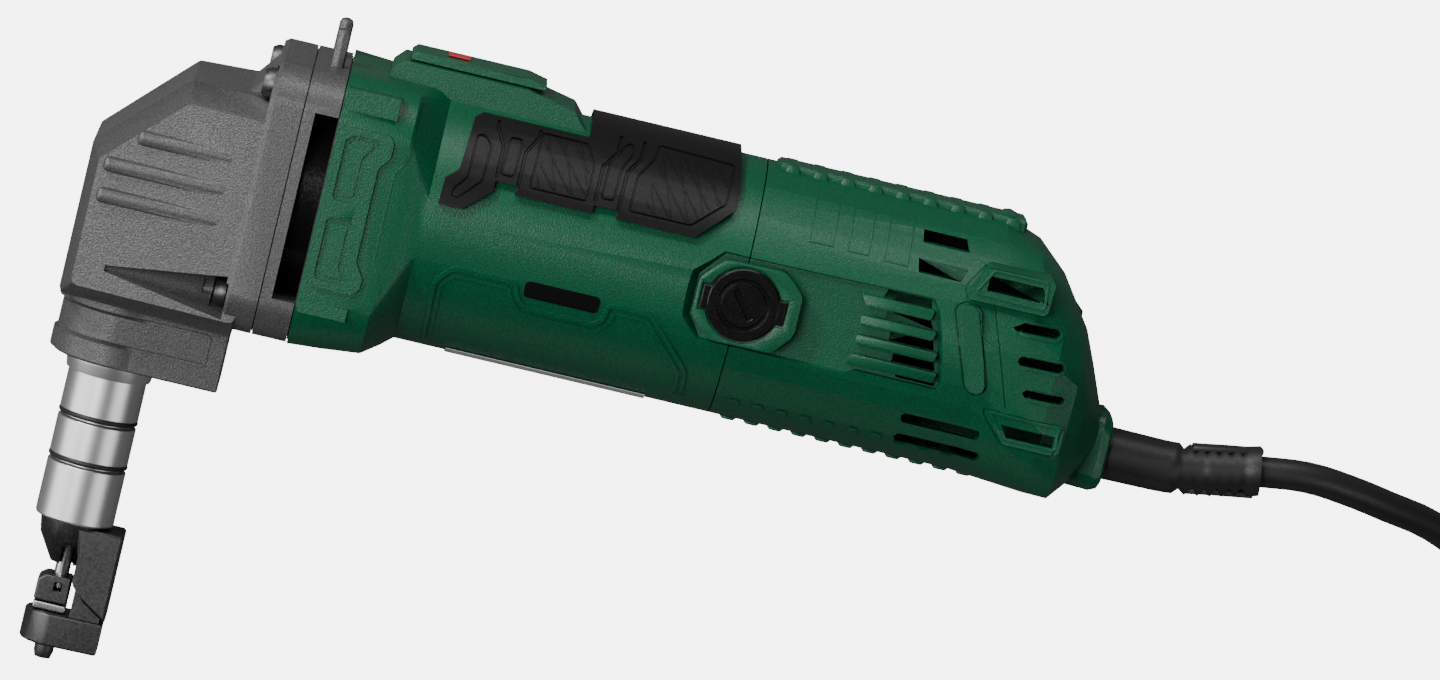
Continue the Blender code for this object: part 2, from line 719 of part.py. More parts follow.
def make_armature():
    """Shaft with the cut pinion at its front end, and what is pressed on it: fan, core, commutator."""
    shaft = turned(
        "armature_shaft",
        "x",
        (0, MOTOR_Y, 0),
        [
            (32.6, 0),
            (32.6, 4.0),
            (60.0, 4.0),
            (60.0, 5.0),
            (170.0, 5.0),
            (170.0, 3.5),
            (184.0, 3.5),
            (184.0, 0),
        ],
        24,
    )
    pinion_phase = math.pi + math.pi / PINION_TEETH
    pinion_points = [(MOTOR_Y + a, b) for a, b in gear_outline(PINION_TEETH, pinion_phase)]
    pinion = extruded("pinion", "x", pinion_points, 25.2, 32.8)
    finished(join(shaft, pinion), BRIGHT_STEEL)

    core_points = []
    slots = 12
    for slot in range(slots):
        for offset, radius in ((-0.42, 17.5), (0.30, 17.5), (0.30, 12.5), (0.58, 12.5)):
            angle = 2 * math.pi * (slot + offset) / slots
            core_points.append((MOTOR_Y + radius * math.cos(angle), radius * math.sin(angle)))
    core = extruded("armature_core", "x", core_points, 84.0, 128.0)
    finished(cut(core, cylinder("core_bore", "x", (0, MOTOR_Y, 0), 5.0 + GAP, 70.0, 140.0, 20)), LAMINATION)
    for name, low, high in (("front_winding", 74.0, 83.7), ("rear_winding", 128.3, 139.0)):
        wide, narrow = (high, low) if name == "front_winding" else (low, high)
        profile = [(narrow, 5.3), (narrow, 11.0), ((wide + narrow) / 2, 15.4), (wide, 16.4), (wide, 5.3)]
        finished(turned(name, "x", (0, MOTOR_Y, 0), profile, 24), COPPER)
    profile = [(146.0, 5.3), (146.0, 12.5), (148.4, 12.5), (148.4, 11.2), (166.0, 11.2), (166.0, 5.3)]
    finished(turned("commutator", "x", (0, MOTOR_Y, 0), profile, 24), COPPER)


def make_fan():
    """A radial fan behind the air outlets: a backing disc with straight blades round a hub."""
    fan = turned(
        "fan",
        "x",
        (0, MOTOR_Y, 0),
        [(42.8, 4.3), (42.8, 9.0), (51.0, 9.0), (51.0, 28.0), (53.0, 28.0), (53.0, 4.3)],
        32,
    )
    blades = []
    for i in range(12):
        blade = box("blade", (43.0, 51.5), (MOTOR_Y - 0.7, MOTOR_Y + 0.7), (8.0, 27.8))
        pivot = Matrix.Translation(at(0, MOTOR_Y, 0))
        turn = Matrix.Rotation(math.radians(30 * i), 4, "X")
        blade.matrix_world = pivot @ turn @ pivot.inverted() @ blade.matrix_world
        blades.append(blade)
    join(fan, *blades)
    return finished(fan, BLACK_PLASTIC)


def make_stator():
    """The field core: a round stack with flats left and right, and coils round its two poles."""
    stack = cylinder("stator_core", "x", (0, MOTOR_Y, 0), 27.0, 82.0, 130.0, 30)
    sides = [box("flat", (80.0, 132.0), (-20.0, 60.0), limits) for limits in ((25.0, 34.0), (-34.0, -25.0))]
    flats = merged("stator_flats", sides)
    bore = cylinder("stator_bore", "x", (0, MOTOR_Y, 0), 18.2, 70.0, 140.0, 30)
    finished(cut(stack, flats, bore), LAMINATION)
    for name, sign in (("upper_field_coil", 1), ("lower_field_coil", -1)):
        points = []
        for i in range(9):
            angle = math.radians(40 + 12.5 * i)
            points.append((MOTOR_Y + sign * 25.4 * math.sin(angle), 25.4 * math.cos(angle)))
        for i in range(8, -1, -1):
            angle = math.radians(40 + 12.5 * i)
            points.append((MOTOR_Y + sign * 19.4 * math.sin(angle), 19.4 * math.cos(angle)))
        finished(extruded(name, "x", points, 131.0, 139.5), COPPER)


def across(side_sign, low, high):
    """Limits in z on one side of the middle plane, lowest first."""
    return sorted((side_sign * low, side_sign * high))


def make_brush_cap(side, sign):
    """The black screw cap: a threaded plug under a wide disc with two ears and a slotted middle."""
    profile = [(31.0, 0), (31.0, 5.8), (33.4, 5.8), (33.4, 9.1), (34.1, 9.1), (34.5, 8.7)]
    profile += [(34.5, 6.6), (34.0, 6.3), (34.0, 5.7), (34.5, 5.4), (34.5, 0)]
    cap = turned("brush_cap_" + side, "z", (BRUSH_X, MOTOR_Y, 0), [(sign * h, r) for h, r in profile], 32)
    ear_width = (MOTOR_Y - 3.0, MOTOR_Y + 3.0)
    ears = []
    for x in ((BRUSH_X - 10.5, BRUSH_X - 7.8), (BRUSH_X + 7.8, BRUSH_X + 10.5)):
        ears.append(bevel(box("cap_ear", x, ear_width, across(sign, 33.5, 34.3)), 0.2, 1))
    join(cap, merged("cap_ears_" + side, ears))
    slot = box("cap_slot_" + side, (-0.8, 0.8), (-4.2, 4.2), (-1.0, 1.0))
    turn = Matrix.Rotation(math.radians(38), 4, "Z")
    slot.matrix_world = Matrix.Translation(at(BRUSH_X, MOTOR_Y, sign * 34.6)) @ turn
    finished(cut(cap, slot), BLACK_PLASTIC)


def make_brushes():
    """A brass tube, carbon brush and black screw cap on each side of the commutator."""
    for side, sign in (("left", 1), ("right", -1)):
        tube_width = (MOTOR_Y - 5.2, MOTOR_Y + 5.2)
        tube = box("brush_tube_" + side, (150.6, 160.0), tube_width, across(sign, 14.0, 28.8))
        way_width = (MOTOR_Y - 3.8, MOTOR_Y + 3.8)
        way = box("brush_way_" + side, (152.0, 158.6), way_width, across(sign, 12.0, 33.0))
        finished(cut(tube, way), BRASS)
        carbon_width = (MOTOR_Y - 3.5, MOTOR_Y + 3.5)
        carbon = box("carbon_brush_" + side, (152.3, 158.3), carbon_width, across(sign, 11.5, 22.0))
        finished(carbon, CARBON)
        make_brush_cap(side, sign)


# ---------------------------------------------------------------- motor housing


def make_motor_housing():
    """The green motor body: square collar at the flange, round barrel behind, and the switch console."""
    outer = [
        section(MOTOR_FRONT, -17.0, 53.1, 34.2, 13.0),
        section(57.0, -16.4, 52.6, 34.2, 13.5),
        section(66.5, -15.6, 52.2, 34.0, 15.0),
        section(71.0, -14.0, 52.5, 33.2, 26.0),
        round_section(74.0, MOTOR_RADIUS),
        round_section(MOTOR_SPLIT - GAP / 2, MOTOR_RADIUS),
    ]
    inner_radius = MOTOR_RADIUS - MOTOR_WALL
    inner = [round_section(MOTOR_SPLIT - GAP / 2, inner_radius), round_section(MOTOR_FRONT, inner_radius)]
    body = loft("motor_housing", outer + inner, pivot=(MOTOR_FRONT, MOTOR_Y, 0), closed=True)

    console_points = [(58.0, 46.0), (58.0, 54.4), (60.6, 57.2), (92.0, 57.2)]
    console_points += [(104.6, 54.6), (108.6, 50.0), (108.6, 46.0)]
    console_outline = rounded_outline(console_points, 1.0, 2)
    console = extruded("console", "z", console_outline, -12.6, 12.6)
    bevel(console, 1.4, 2)
    core = cylinder("console_core", "x", (0, MOTOR_Y, 0), inner_radius + 1.0, 40.0, 120.0, 40)
    join(body, cut(console, core))

    panel_outline = rounded_outline(COLLAR_PANEL, 0.8, 1)
    windows = []
    for outline in COLLAR_WINDOWS:
        windows += both_sides("collar_window", rounded_outline(outline, 0.8, 1), 34.1, 36.0)
    bar_upper = [(48.9, 44.6), (62.0, 44.6), (62.0, 50.0), (48.9, 50.0)]
    bar_lower = [(48.9, -6.8), (61.0, -6.8), (61.0, -3.6), (48.9, -3.6)]
    raised = list(both_sides("collar_panel", panel_outline, 32.5, 34.9))
    raised += both_sides("collar_lower_bar", bar_lower, 30.0, 34.6)
    join(body, merged("collar_panels", raised))
    join(body, merged("collar_upper_bars", list(both_sides("collar_upper_bar", bar_upper, 28.0, 33.8))))
    cut(body, merged("collar_windows", windows))

    bosses = extruded("brush_bosses", "z", rounded_outline(BOSS_OUTLINE, 1.2, 1), -BOSS_HALF, BOSS_HALF)
    boss_core = cylinder("boss_core", "x", (0, MOTOR_Y, 0), inner_radius + 0.4, 120.0, 200.0, 40)
    join(body, cut(bosses, boss_core))
    hole = cylinder("brush_holes", "z", (BRUSH_X, MOTOR_Y, 0), 5.8 + GAP, -40.0, 40.0, 28)
    recesses = []
    for sign in (1, -1):
        limits = across(sign, CAP_FLOOR, 36.0)
        recess = cylinder("recess", "z", (BRUSH_X, MOTOR_Y, 0), 9.4, *limits, 32)
        ear_room = box("ear_room", (BRUSH_X - 10.8, BRUSH_X + 10.8), (MOTOR_Y - 3.3, MOTOR_Y + 3.3), limits)
        recesses.append(join(recess, ear_room))
    cap_recess = merged("cap_recesses", recesses)
    switch_way = box("switch_way", (68.0, 80.2), (46.0, 60.0), (-2.6, 2.6))
    cut(body, hole, cap_recess, switch_way)
    return finished(body, GREEN)


def make_grip():
    """The soft grip: two side pads with a cut outline, joined over the top behind the console."""
    outline = [
        (82.6, 49.6),
        (80.8, 48.4),
        (79.8, 36.2),
        (76.8, 33.6),
        (76.6, 27.2),
        (82.4, 27.2),
        (89.0, 33.0),
        (89.0, 35.6),
        (94.4, 35.6),
        (94.4, 33.4),
        (113.9, 33.4),
        (113.9, 35.4),
        (119.9, 35.4),
        (119.9, 33.4),
        (139.8, 33.4),
        (148.0, 41.4),
        (148.4, 45.6),
        (147.6, 52.0),
        (146.4, 60.0),
        (109.4, 60.0),
        (109.4, 49.6),
    ]
    pad = extruded("rubber_grip", "z", outline, -40.0, 40.0)
    shell = turned(
        "grip_shell",
        "x",
        (0, MOTOR_Y, 0),
        [
            (70.0, MOTOR_RADIUS + GAP),
            (70.0, MOTOR_RADIUS + 1.9),
            (152.0, MOTOR_RADIUS + 1.9),
            (152.0, MOTOR_RADIUS + GAP),
        ],
        56,
    )
    keep_inside(pad, shell)
    console_room = box("console_room", (50.0, 109.2), (44.0, 70.0), (-13.2, 13.2))
    cut(pad, console_room)
    return finished(pad, RUBBER)


def make_switch():
    """The slide switch: a long cap on the console, its link rod and the switch it works."""
    outline = rounded_outline([(61.0, 57.5), (63.2, 59.6), (91.6, 59.6), (101.0, 57.5)], 0.5, 1)
    slide = extruded("slide_switch", "z", outline, -9.4, 9.4)
    bevel(slide, 0.5, 1)
    tongue = box("slide_tongue", (74.6, 79.4), (49.3, 58.2), (-2.2, 2.2))
    finished(join(slide, tongue), GREEN)
    mark_outline = [(71.0, 59.9), (76.5, 59.9), (76.5, 60.3), (71.0, 60.3)]
    finished(extruded("switch_mark", "z", mark_outline, -3.2, 3.2), RED)
    rod = box("switch_rod", (75.0, 184.0), (47.8, 49.0), (-1.6, 1.6))
    finished(rod, BLACK_PLASTIC)
    module = box("switch_module", (192.0, 214.0), (36.0, 47.8), (-6.5, 6.5))
    bevel(module, 0.8, 1)
    finished(module, BLACK_PLASTIC)


# ---------------------------------------------------------------- rear housing


def rear_sections(wall):
    """Outer and inner sections of the rear cover, which narrows to the cord's clamp."""
    front = MOTOR_SPLIT + GAP / 2
    low, high = MOTOR_Y - MOTOR_RADIUS, MOTOR_Y + MOTOR_RADIUS
    outer = [
        section(front, low, high, MOTOR_RADIUS, MOTOR_RADIUS),
        section(216.0, low, high, MOTOR_RADIUS, MOTOR_RADIUS),
        section(226.0, low, 48.6, 32.2, 26.0),
        section(234.5, low, 40.8, 31.0, 20.0),
        section(241.0, low + 0.1, 31.6, 27.0, 14.0),
        section(244.6, -8.0, 23.6, 22.0, 10.0),
        section(REAR_END, 0.5, 12.0, 12.0, 5.0),
    ]
    inner = [
        section(248.6 - wall, 4.6 - wall, 15.4 + wall, 16.6 - wall, 8.0 - wall),
        section(241.0, low + 4.2 + wall * 0.2, 31.0 - wall * 1.5, 26.0 - wall * 1.4, 13.0 - wall * 1.2),
        section(233.0, low + wall, 41.0 - wall, 30.8 - wall, 20.6 - wall),
        section(226.0, low + wall, 48.0 - wall, 32.0 - wall, 25.6 - wall),
        section(215.0, low + wall, high - wall, MOTOR_RADIUS - wall, MOTOR_RADIUS - wall),
        section(front, low + wall, high - wall, MOTOR_RADIUS - wall, MOTOR_RADIUS - wall),
    ]
    return outer, inner


def side_vents():
    """Every air slot of the rear cover, cut through both sides."""
    outlines = [
        slanted_outline((188.6, 200.6), (29.4, 31.8), 1.4, 0.6),
        slanted_outline((190.4, 202.4), (24.6, 26.9), -0.6, 0.6),
        slanted_outline((192.4, 203.8), (19.5, 21.9), -0.6, 0.6),
        slanted_outline((194.4, 206.2), (14.5, 16.9), -0.6, 0.6),
        slanted_outline((196.4, 207.2), (9.4, 11.6), -0.6, 0.6),
        slanted_outline((195.2, 207.4), (44.2, 47.0), 1.2, 0.4),
        slanted_outline((195.2, 206.6), (37.4, 40.6), -1.2, 0.6),
        slot_outline((221.6, 233.4), (29.2, 31.6)),
        slot_outline((224.6, 236.4), (21.2, 23.6)),
        slot_outline((227.6, 238.4), (13.6, 15.6)),
        slanted_outline((213.0, 226.4), (37.4, 41.2), 0.0, 0.0),
        slanted_outline((224.4, 238.2), (2.6, 5.6), 0.0, 2.0),
        slot_outline((200.2, 220.2), (-0.3, 2.4)),
        slot_outline((200.0, 221.8), (-6.0, -3.6)),
    ]
    return merged("side_vents", [extruded("vent", "z", outline, -40.0, 40.0) for outline in outlines])


def rear_details():
    """What stands proud of the rear cover: window frames, slanted pads, rails and the cord's boss."""
    shapes = []
    frame_upper = rounded_outline([(207.6, 34.4), (229.0, 34.4), (229.4, 43.6), (212.6, 43.6)], 1.0, 1)
    frame_lower = rounded_outline([(219.8, 8.4), (240.0, 8.4), (240.0, 0.8), (226.0, 0.8)], 1.0, 1)
    shapes += both_sides("frame_upper", frame_upper, 20.0, 31.6)
    shapes += both_sides("frame_lower", frame_lower, 18.0, 30.2)
    pad = rounded_outline([(207.6, 33.0), (212.6, 33.0), (218.6, 12.0), (213.6, 12.0)], 1.6, 2)
    shapes += both_sides("slanted_pad", pad, 28.0, 33.1)
    return shapes


def make_rear_housing():
    """Two half shells: lofted as one hollow cover, then split at the middle plane."""
    outer, inner = rear_sections(MOTOR_WALL)
    body = loft("rear_whole", inner + outer, pivot=(MOTOR_SPLIT, MOTOR_Y, 0))
    mid_wall = loft("rear_mid_wall", rear_sections(MOTOR_WALL / 2)[1])
    pads = cut(merged("rear_pads", rear_details()), mid_wall)
    rail = box("top_rail", (157.0, 221.0), (46.0, 53.5), (-7.0, 7.0))
    bevel(rail, 0.8, 1)
    cut(rail, mid_wall)
    boss = loft(
        "cord_boss",
        [
            section(236.7, -8.6, 9.4, 10.0, 5.0, 6),
            section(251.4, -9.0, 11.4, 10.6, 5.0, 6),
            section(253.4, -8.2, 10.0, 9.6, 4.6, 6),
            section(CLAMP_END, -7.0, 8.6, 8.6, 4.2, 6),
        ],
    )
    lug = cylinder("rail_lug", "z", (216.3, 51.6, 0), 2.8, -4.0, 4.0, 14)
    join(body, pads, boss, rail, lug)
    cord_way = cylinder("cord_way", "x", (0, 0.4, 0), 5.0, 230.0, 262.0, 20)
    room_outline = spread(rounded_outline(BOSS_OUTLINE, 1.2, 1), 1.0 + 1.2 * GAP / 10.0)
    brush_room = extruded("brush_room", "z", room_outline, -40.0, 40.0)
    cut(body, side_vents(), cord_way, brush_room)
    whole = baked(body)
    for side, limits in (("left", (GAP / 2, 60.0)), ("right", (-60.0, -GAP / 2))):
        half = new_object("rear_cover_" + side, whole.data.copy(), whole.matrix_world.copy())
        keep_inside(half, box("half_space_" + side, (140.0, 270.0), (-40.0, 80.0), limits))
        finished(half, GREEN)
    bpy.data.objects.remove(whole, do_unlink=True)


def make_labels():
    """The blank rating film under the body, bent to the body's round."""
    steps = [math.radians(-112 + 11 * i) for i in range(5)]
    outer, inner = MOTOR_RADIUS + 0.45, MOTOR_RADIUS + GAP
    points = [(MOTOR_Y + outer * math.sin(angle), outer * math.cos(angle)) for angle in steps]
    points += [(MOTOR_Y + inner * math.sin(angle), inner * math.cos(angle)) for angle in reversed(steps)]
    finished(extruded("rating_label", "x", points, 87.0, 138.0), LABEL)


# ---------------------------------------------------------------- mains lead


def relief_radius(step, steps):
    """The sleeve tapers, with five ring grooves before its end bead."""
    along = step / steps
    radius = 6.8 - 0.5 * along
    if 0.44 < along < 0.9 and step % 2 == 1:
        return radius - 1.4
    return radius


def make_strain_relief():
    """The rubber sleeve bends towards the switch side, as it sags round its grooves."""
    steps = 26
    rings = []
    for step in range(steps + 1):
        along = step / steps
        x = CLAMP_END + GAP + (292.6 - CLAMP_END) * along
        lift = 0.5 + 4.4 * max(0.0, (along - 0.35) / 0.65) ** 1.6
        slope = 0.0 if along < 0.4 else 0.17 * min(1.0, (along - 0.35) / 0.3)
        radius = relief_radius(step, steps)
        ring_points = []
        for i in range(16):
            angle = 2 * math.pi * i / 16
            up = radius * math.cos(angle)
            ring_points.append((x - up * slope, lift + up, radius * math.sin(angle)))
        rings.append(ring_points)
    return finished(loft("strain_relief", rings, pivot=(CLAMP_END, 0.5, 0)), CABLE)


def smooth_route(points, spacing):
    """Points at an even spacing along a Catmull-Rom curve through the route's own points."""
    fine = []
    padded = [points[0]] + points + [points[-1]]
    for i in range(len(points) - 1):
        a, b, c, d = (Vector(padded[i + k]) for k in range(4))
        for step in range(24):
            t = step / 24
            square, cube = 2 * a - 5 * b + 4 * c - d, 3 * b - a - 3 * c + d
            fine.append(0.5 * (2 * b + (c - a) * t + square * t**2 + cube * t**3))
    fine.append(Vector(points[-1]))
    total = sum((q - p).length for p, q in zip(fine, fine[1:]))
    count = max(2, round(total / spacing))
    out, travelled, target = [fine[0]], 0.0, total / count
    for p, q in zip(fine, fine[1:]):
        step = (q - p).length
        while travelled + step >= target and len(out) < count:
            out.append(p.lerp(q, (target - travelled) / step))
            target += total / count
        travelled += step
    out.append(fine[-1])
    return out


def floor_z(height):
    """A height above the resting surface, in the tool's datum."""
    return height - REST_HALF_WIDTH


def make_cord():
    """The free stretch from the sleeve to the coil, then the coil, then the short tail to the plug."""
    rest = floor_z(CORD_RADIUS + 0.3)
    coil_outer = COIL_MEAN_RADIUS + COIL_WIDE * CORD_RADIUS
    entry_y = COIL_CENTRE[1] - coil_outer - CORD_RADIUS - GAP
    lead = [
        CORD_START,
        (305.0, 6.0, -0.8),
        (316.0, 4.8, -4.0),
        (328.0, 2.2, -10.0),
        (341.0, -1.2, -18.5),
        (353.0, -7.5, -26.0),
        (364.0, -17.0, rest + 0.8),
        (376.0, -30.0, rest),
        (389.0, -42.0, rest),
        (405.0, -52.4, rest),
        (422.0, entry_y + 1.3, rest),
        (COIL_CENTRE[0], entry_y, rest),
    ]
    tube("cord", lead)
    low = floor_z(0.3)
    high = floor_z(0.3 + 2 * CORD_RADIUS * COIL_HIGH + 0.6)
    inner = COIL_MEAN_RADIUS - COIL_WIDE * CORD_RADIUS
    corner = 3.0
    profile = [
        (low, inner + corner),
        (low, coil_outer - corner),
        (low + corner, coil_outer),
        (high - corner, coil_outer),
        (high, coil_outer - corner),
        (high, inner + corner),
        (high - corner, inner),
        (low + corner, inner),
    ]
    tail_x = COIL_CENTRE[0] + coil_outer + CORD_RADIUS + GAP
    plug_z = floor_z(PLUG_HEIGHT)
    tail_y = COIL_CENTRE[1]
    tail = [
        (tail_x, tail_y, rest),
        (tail_x + 1.6, tail_y + 10.0, rest + 0.4),
        (PLUG_X, tail_y + 21.0, plug_z - 0.6),
        (PLUG_X, PLUG_START - GAP, plug_z),
    ]
    tube("cord_tail", tail)
    coil = turned("cord_coil", "z", (*COIL_CENTRE, 0), profile, 36)
    finished(coil, CABLE)


def tube(name, points):
    curve = bpy.data.curves.new(name, "CURVE")
    curve.dimensions = "3D"
    curve.bevel_depth = CORD_RADIUS * MM
    curve.bevel_resolution = 3
    curve.use_fill_caps = True
    spline = curve.splines.new("POLY")
    route = smooth_route(points, 5 * CORD_RADIUS / 2)
    spline.points.add(len(route) - 1)
    for point, place in zip(spline.points, route):
        point.co = (*at(*place), 1)
    obj = new_object(name, curve, Matrix.Identity(4))
    curve.materials.append(material(CABLE))
    return obj


def make_plug():
    """A flat two-pin mains plug with its sleeve, lying beside the coil with its pins along +Y."""
    middle = floor_z(PLUG_HEIGHT)
    stations = ((0.0, 4.8, 4.8), (12.0, 6.0, 5.6), (16.0, 12.0, 6.6), (26.0, 17.4, 6.9), (46.0, 17.4, 6.9))
    rings = []
    for along, half_width, half_height in stations:
        corner = half_height - 0.2
        flat = section(0, -half_width, half_width, half_height, corner, 4)
        rings.append([(PLUG_X + a, PLUG_START + along, middle + b) for _, a, b in flat])
    finished(loft("plug", rings, pivot=(PLUG_X, PLUG_START, middle)), BLACK_PLASTIC)
    for side, offset in (("left", -9.3), ("right", 9.3)):
        centre = (PLUG_X + offset, PLUG_START + 46.0, middle)
        finished(cylinder("plug_pin_" + side, "y", centre, 2.0, GAP, 19.0, 12), BRIGHT_STEEL)


MOVING = {
    "armature_axis": (
        (106.0, MOTOR_Y, 0.0),
        ("armature_shaft", "armature_core", "front_winding", "rear_winding", "commutator", "fan"),
    ),
    "crank_axis": ((26.0, CRANK_Y, 0.0), ("crankshaft", "crank_gear")),
    "ram_axis": ((PUNCH_X, 0.0, 0.0), ("ram",)),
    "nose_axis": (
        (PUNCH_X, NOSE_TOP, 0.0),
        ("barrel", "nose_ring", "die_holder", "die", "die_plate", "die_screw"),
    ),
    "punch_axis": ((PUNCH_X, -60.0, 0.0), ("punch",)),
    "switch_line": ((77.0, 57.5, 0.0), ("slide_switch", "switch_mark", "switch_rod")),
}


def hang_on_axes():
    """Each moving body's pieces hang on an empty that stands on its joint's axis."""
    for name, (centre, children) in MOVING.items():
        pivot = bpy.data.objects.new(name, None)
        collection(PARTS).objects.link(pivot)
        pivot.location = at(*centre)
        bpy.context.view_layer.update()
        for child in children:
            obj = bpy.data.objects[child]
            obj.parent = pivot
            obj.matrix_parent_inverse = pivot.matrix_world.inverted()


def main():
    clear_scene()
    make_gear_head()
    make_head_screws()
    make_bearing_flange()
    make_crank()
    make_bearings()
    make_ram()
    make_punch()
    make_barrel()
    make_nose_ring()
    make_die_holder()
    make_die()
    make_armature()
    make_fan()
    make_stator()
    make_brushes()
    make_motor_housing()
    make_grip()
    make_switch()
    make_rear_housing()
    make_labels()
    make_strain_relief()
    make_cord()
    make_plug()
    hang_on_axes()


main()
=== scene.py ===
"""Looks of the sheet-metal nibbler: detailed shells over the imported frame, cord, materials, light and camera.

Sizes are millimetres in the tool's own datum: x along the body, y towards the slide switch, z out of the
left side. at() turns a point of that datum into the row frame, in metres.
"""

import json
import math

import bmesh
import bpy
from mathutils import Matrix, Vector
from mathutils.bvhtree import BVHTree

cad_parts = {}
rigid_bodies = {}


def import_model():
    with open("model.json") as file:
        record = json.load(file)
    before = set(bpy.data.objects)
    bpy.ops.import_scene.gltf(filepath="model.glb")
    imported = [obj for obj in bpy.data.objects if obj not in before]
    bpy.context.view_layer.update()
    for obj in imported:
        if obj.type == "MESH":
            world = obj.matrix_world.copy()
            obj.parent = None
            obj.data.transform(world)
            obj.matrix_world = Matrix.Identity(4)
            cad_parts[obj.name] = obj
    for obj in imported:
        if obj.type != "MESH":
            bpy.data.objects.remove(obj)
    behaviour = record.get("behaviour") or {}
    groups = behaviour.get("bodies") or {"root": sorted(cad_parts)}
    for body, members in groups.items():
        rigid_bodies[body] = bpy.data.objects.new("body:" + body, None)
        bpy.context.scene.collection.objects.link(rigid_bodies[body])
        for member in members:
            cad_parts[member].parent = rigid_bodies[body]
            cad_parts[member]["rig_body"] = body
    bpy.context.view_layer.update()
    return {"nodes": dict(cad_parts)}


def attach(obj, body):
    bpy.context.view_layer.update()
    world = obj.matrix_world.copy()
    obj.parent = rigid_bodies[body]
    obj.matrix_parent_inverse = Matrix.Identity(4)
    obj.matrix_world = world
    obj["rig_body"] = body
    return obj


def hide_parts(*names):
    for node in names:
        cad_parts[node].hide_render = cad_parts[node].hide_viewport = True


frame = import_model()
SLOT = {name: node.material_slots[0].material.name.split(".")[0] for name, node in frame["nodes"].items()}

MM = 0.001
ORIGIN = Vector((122.2, -25.25, -34.9))

MOTOR_Y = 20.2
MOTOR_RADIUS = 32.6
BRUSH_X = 155.3
PUNCH_X = 6.8
FLANGE_Y = 17.7
FLANGE_HALF = 34.2
NOSE_GROOVES = (-48.7, -60.1)

CAMERA_TARGET = (153.5, 5.7, 0.0)
CAMERA_FROM = (-0.05, 0.14, 1.0)
CAMERA_DISTANCE = 2.2
CAMERA_LENS = 220.0
BODY_TILT = math.radians(13.6)

CORD_RADIUS = 4.0
COIL_CENTRE = (440.0, 6.0)
COIL_MIDDLE = 48.0
COIL_POINTS_PER_TURN = 24
COIL_TURNS = 9.25
LAST_WOUND_TURN = 8.25
SHIFT_BETWEEN_TURNS = 0.36
TURN_STEP = 8.0
LAYER_STEP = 8.3
TURNS_PER_LAYER = 3
FLOOR = -34.9
CORD_REST = FLOOR + CORD_RADIUS + 0.3

FLOOR_HALF = 6.0
FLOOR_GLOW = 6.0
WORLD_GLOW = 0.03

SWEEP_STEP = 1.2
MOST_SURFACE_JUMP = 3.0
PLATE_SLICE = 1.5
RIDGE_ROOT = 0.5
ABOVE_ALL = 60.0


def at(x, y, z):
    return (Vector((x, y, z)) - ORIGIN) * MM


# ---------------------------------------------------------------- meshes


def link(obj):
    bpy.context.scene.collection.objects.link(obj)
    return obj


def mesh_object(name, points, faces):
    """A mesh object whose points are given in the datum, in millimetres."""
    mesh = bpy.data.meshes.new(name)
    mesh.from_pydata([at(*p) for p in points], [], faces)
    mesh.update()
    return link(bpy.data.objects.new(name, mesh))


def prism(name, outline, low, high, top=None):
    """A closed prism along z between two heights; top is the outline at the high end, if it differs."""
    upper = top or outline
    count = len(outline)
    points = [(x, y, low) for x, y in outline] + [(x, y, high) for x, y in upper]
    faces = [list(range(count))[::-1], list(range(count, 2 * count))]
    for i in range(count):
        j = (i + 1) % count
        faces.append([i, j, count + j, count + i])
    made = mesh_object(name, points, faces)
    outward(made)
    return made


def outward(obj):
    bm = bmesh.new()
    bm.from_mesh(obj.data)
    bmesh.ops.recalc_face_normals(bm, faces=bm.faces[:])
    if bm.calc_volume(signed=True) < 0:
        bmesh.ops.reverse_faces(bm, faces=bm.faces[:])
    bm.to_mesh(obj.data)
    bm.free()


def volume(mesh):
    bm = bmesh.new()
    bm.from_mesh(mesh)
    size = bm.calc_volume(signed=True)
    bm.free()
    return size


def evaluated_mesh(obj):
    graph = bpy.context.evaluated_depsgraph_get()
    return bpy.data.meshes.new_from_object(obj.evaluated_get(graph))


def bake_modifiers(obj):
    made = evaluated_mesh(obj)
    old = obj.data
    obj.modifiers.clear()
    obj.data = made
    if old.users == 0:
        bpy.data.meshes.remove(old)
    return obj


def joined(name, objects):
    """One object out of several, for a Boolean."""
    bm = bmesh.new()
    for obj in objects:
        bm.from_mesh(obj.data)
        bpy.data.objects.remove(obj, do_unlink=True)
    mesh = bpy.data.meshes.new(name)
    bm.to_mesh(mesh)
    bm.free()
    return link(bpy.data.objects.new(name, mesh))


def boolean(obj, others, operation):
    """An exact Boolean with the others joined. A cut that loses more than its cutter holds is tried again."""
    other = joined(obj.name + "_tool", others)
    before = obj.data.copy()
    for use_self, tolerant in ((False, False), (True, False), (True, True)):
        modifier = obj.modifiers.new(operation.lower(), "BOOLEAN")
        modifier.operation = operation
        modifier.solver = "EXACT"
        modifier.use_self = use_self or operation == "UNION"
        modifier.use_hole_tolerant = tolerant
        modifier.object = other
        bake_modifiers(obj)
        lost = volume(before) - volume(obj.data)
        if operation != "DIFFERENCE" or -1e-12 < lost < volume(other.data) * 1.02 + 1e-12:
            break
        print("Boolean tried again on", obj.name, "use_self", use_self, "tolerant", tolerant, "lost", lost)
        obj.data = before.copy()
    bpy.data.objects.remove(other, do_unlink=True)
    return obj


def mirrored(obj):
    """A copy on the other side of the middle plane."""
    twin = obj.copy()
    twin.data = obj.data.copy()
    twin.name = obj.name + "_twin"
    link(twin)
    middle = -ORIGIN.z * MM
    there, back = Matrix.Translation((0, 0, middle)), Matrix.Translation((0, 0, -middle))
    flip = there @ Matrix.Scale(-1, 4, (0, 0, 1)) @ back
    twin.data.transform(flip)
    twin.data.flip_normals()
    return twin


def both(obj):
    return [obj, mirrored(obj)]


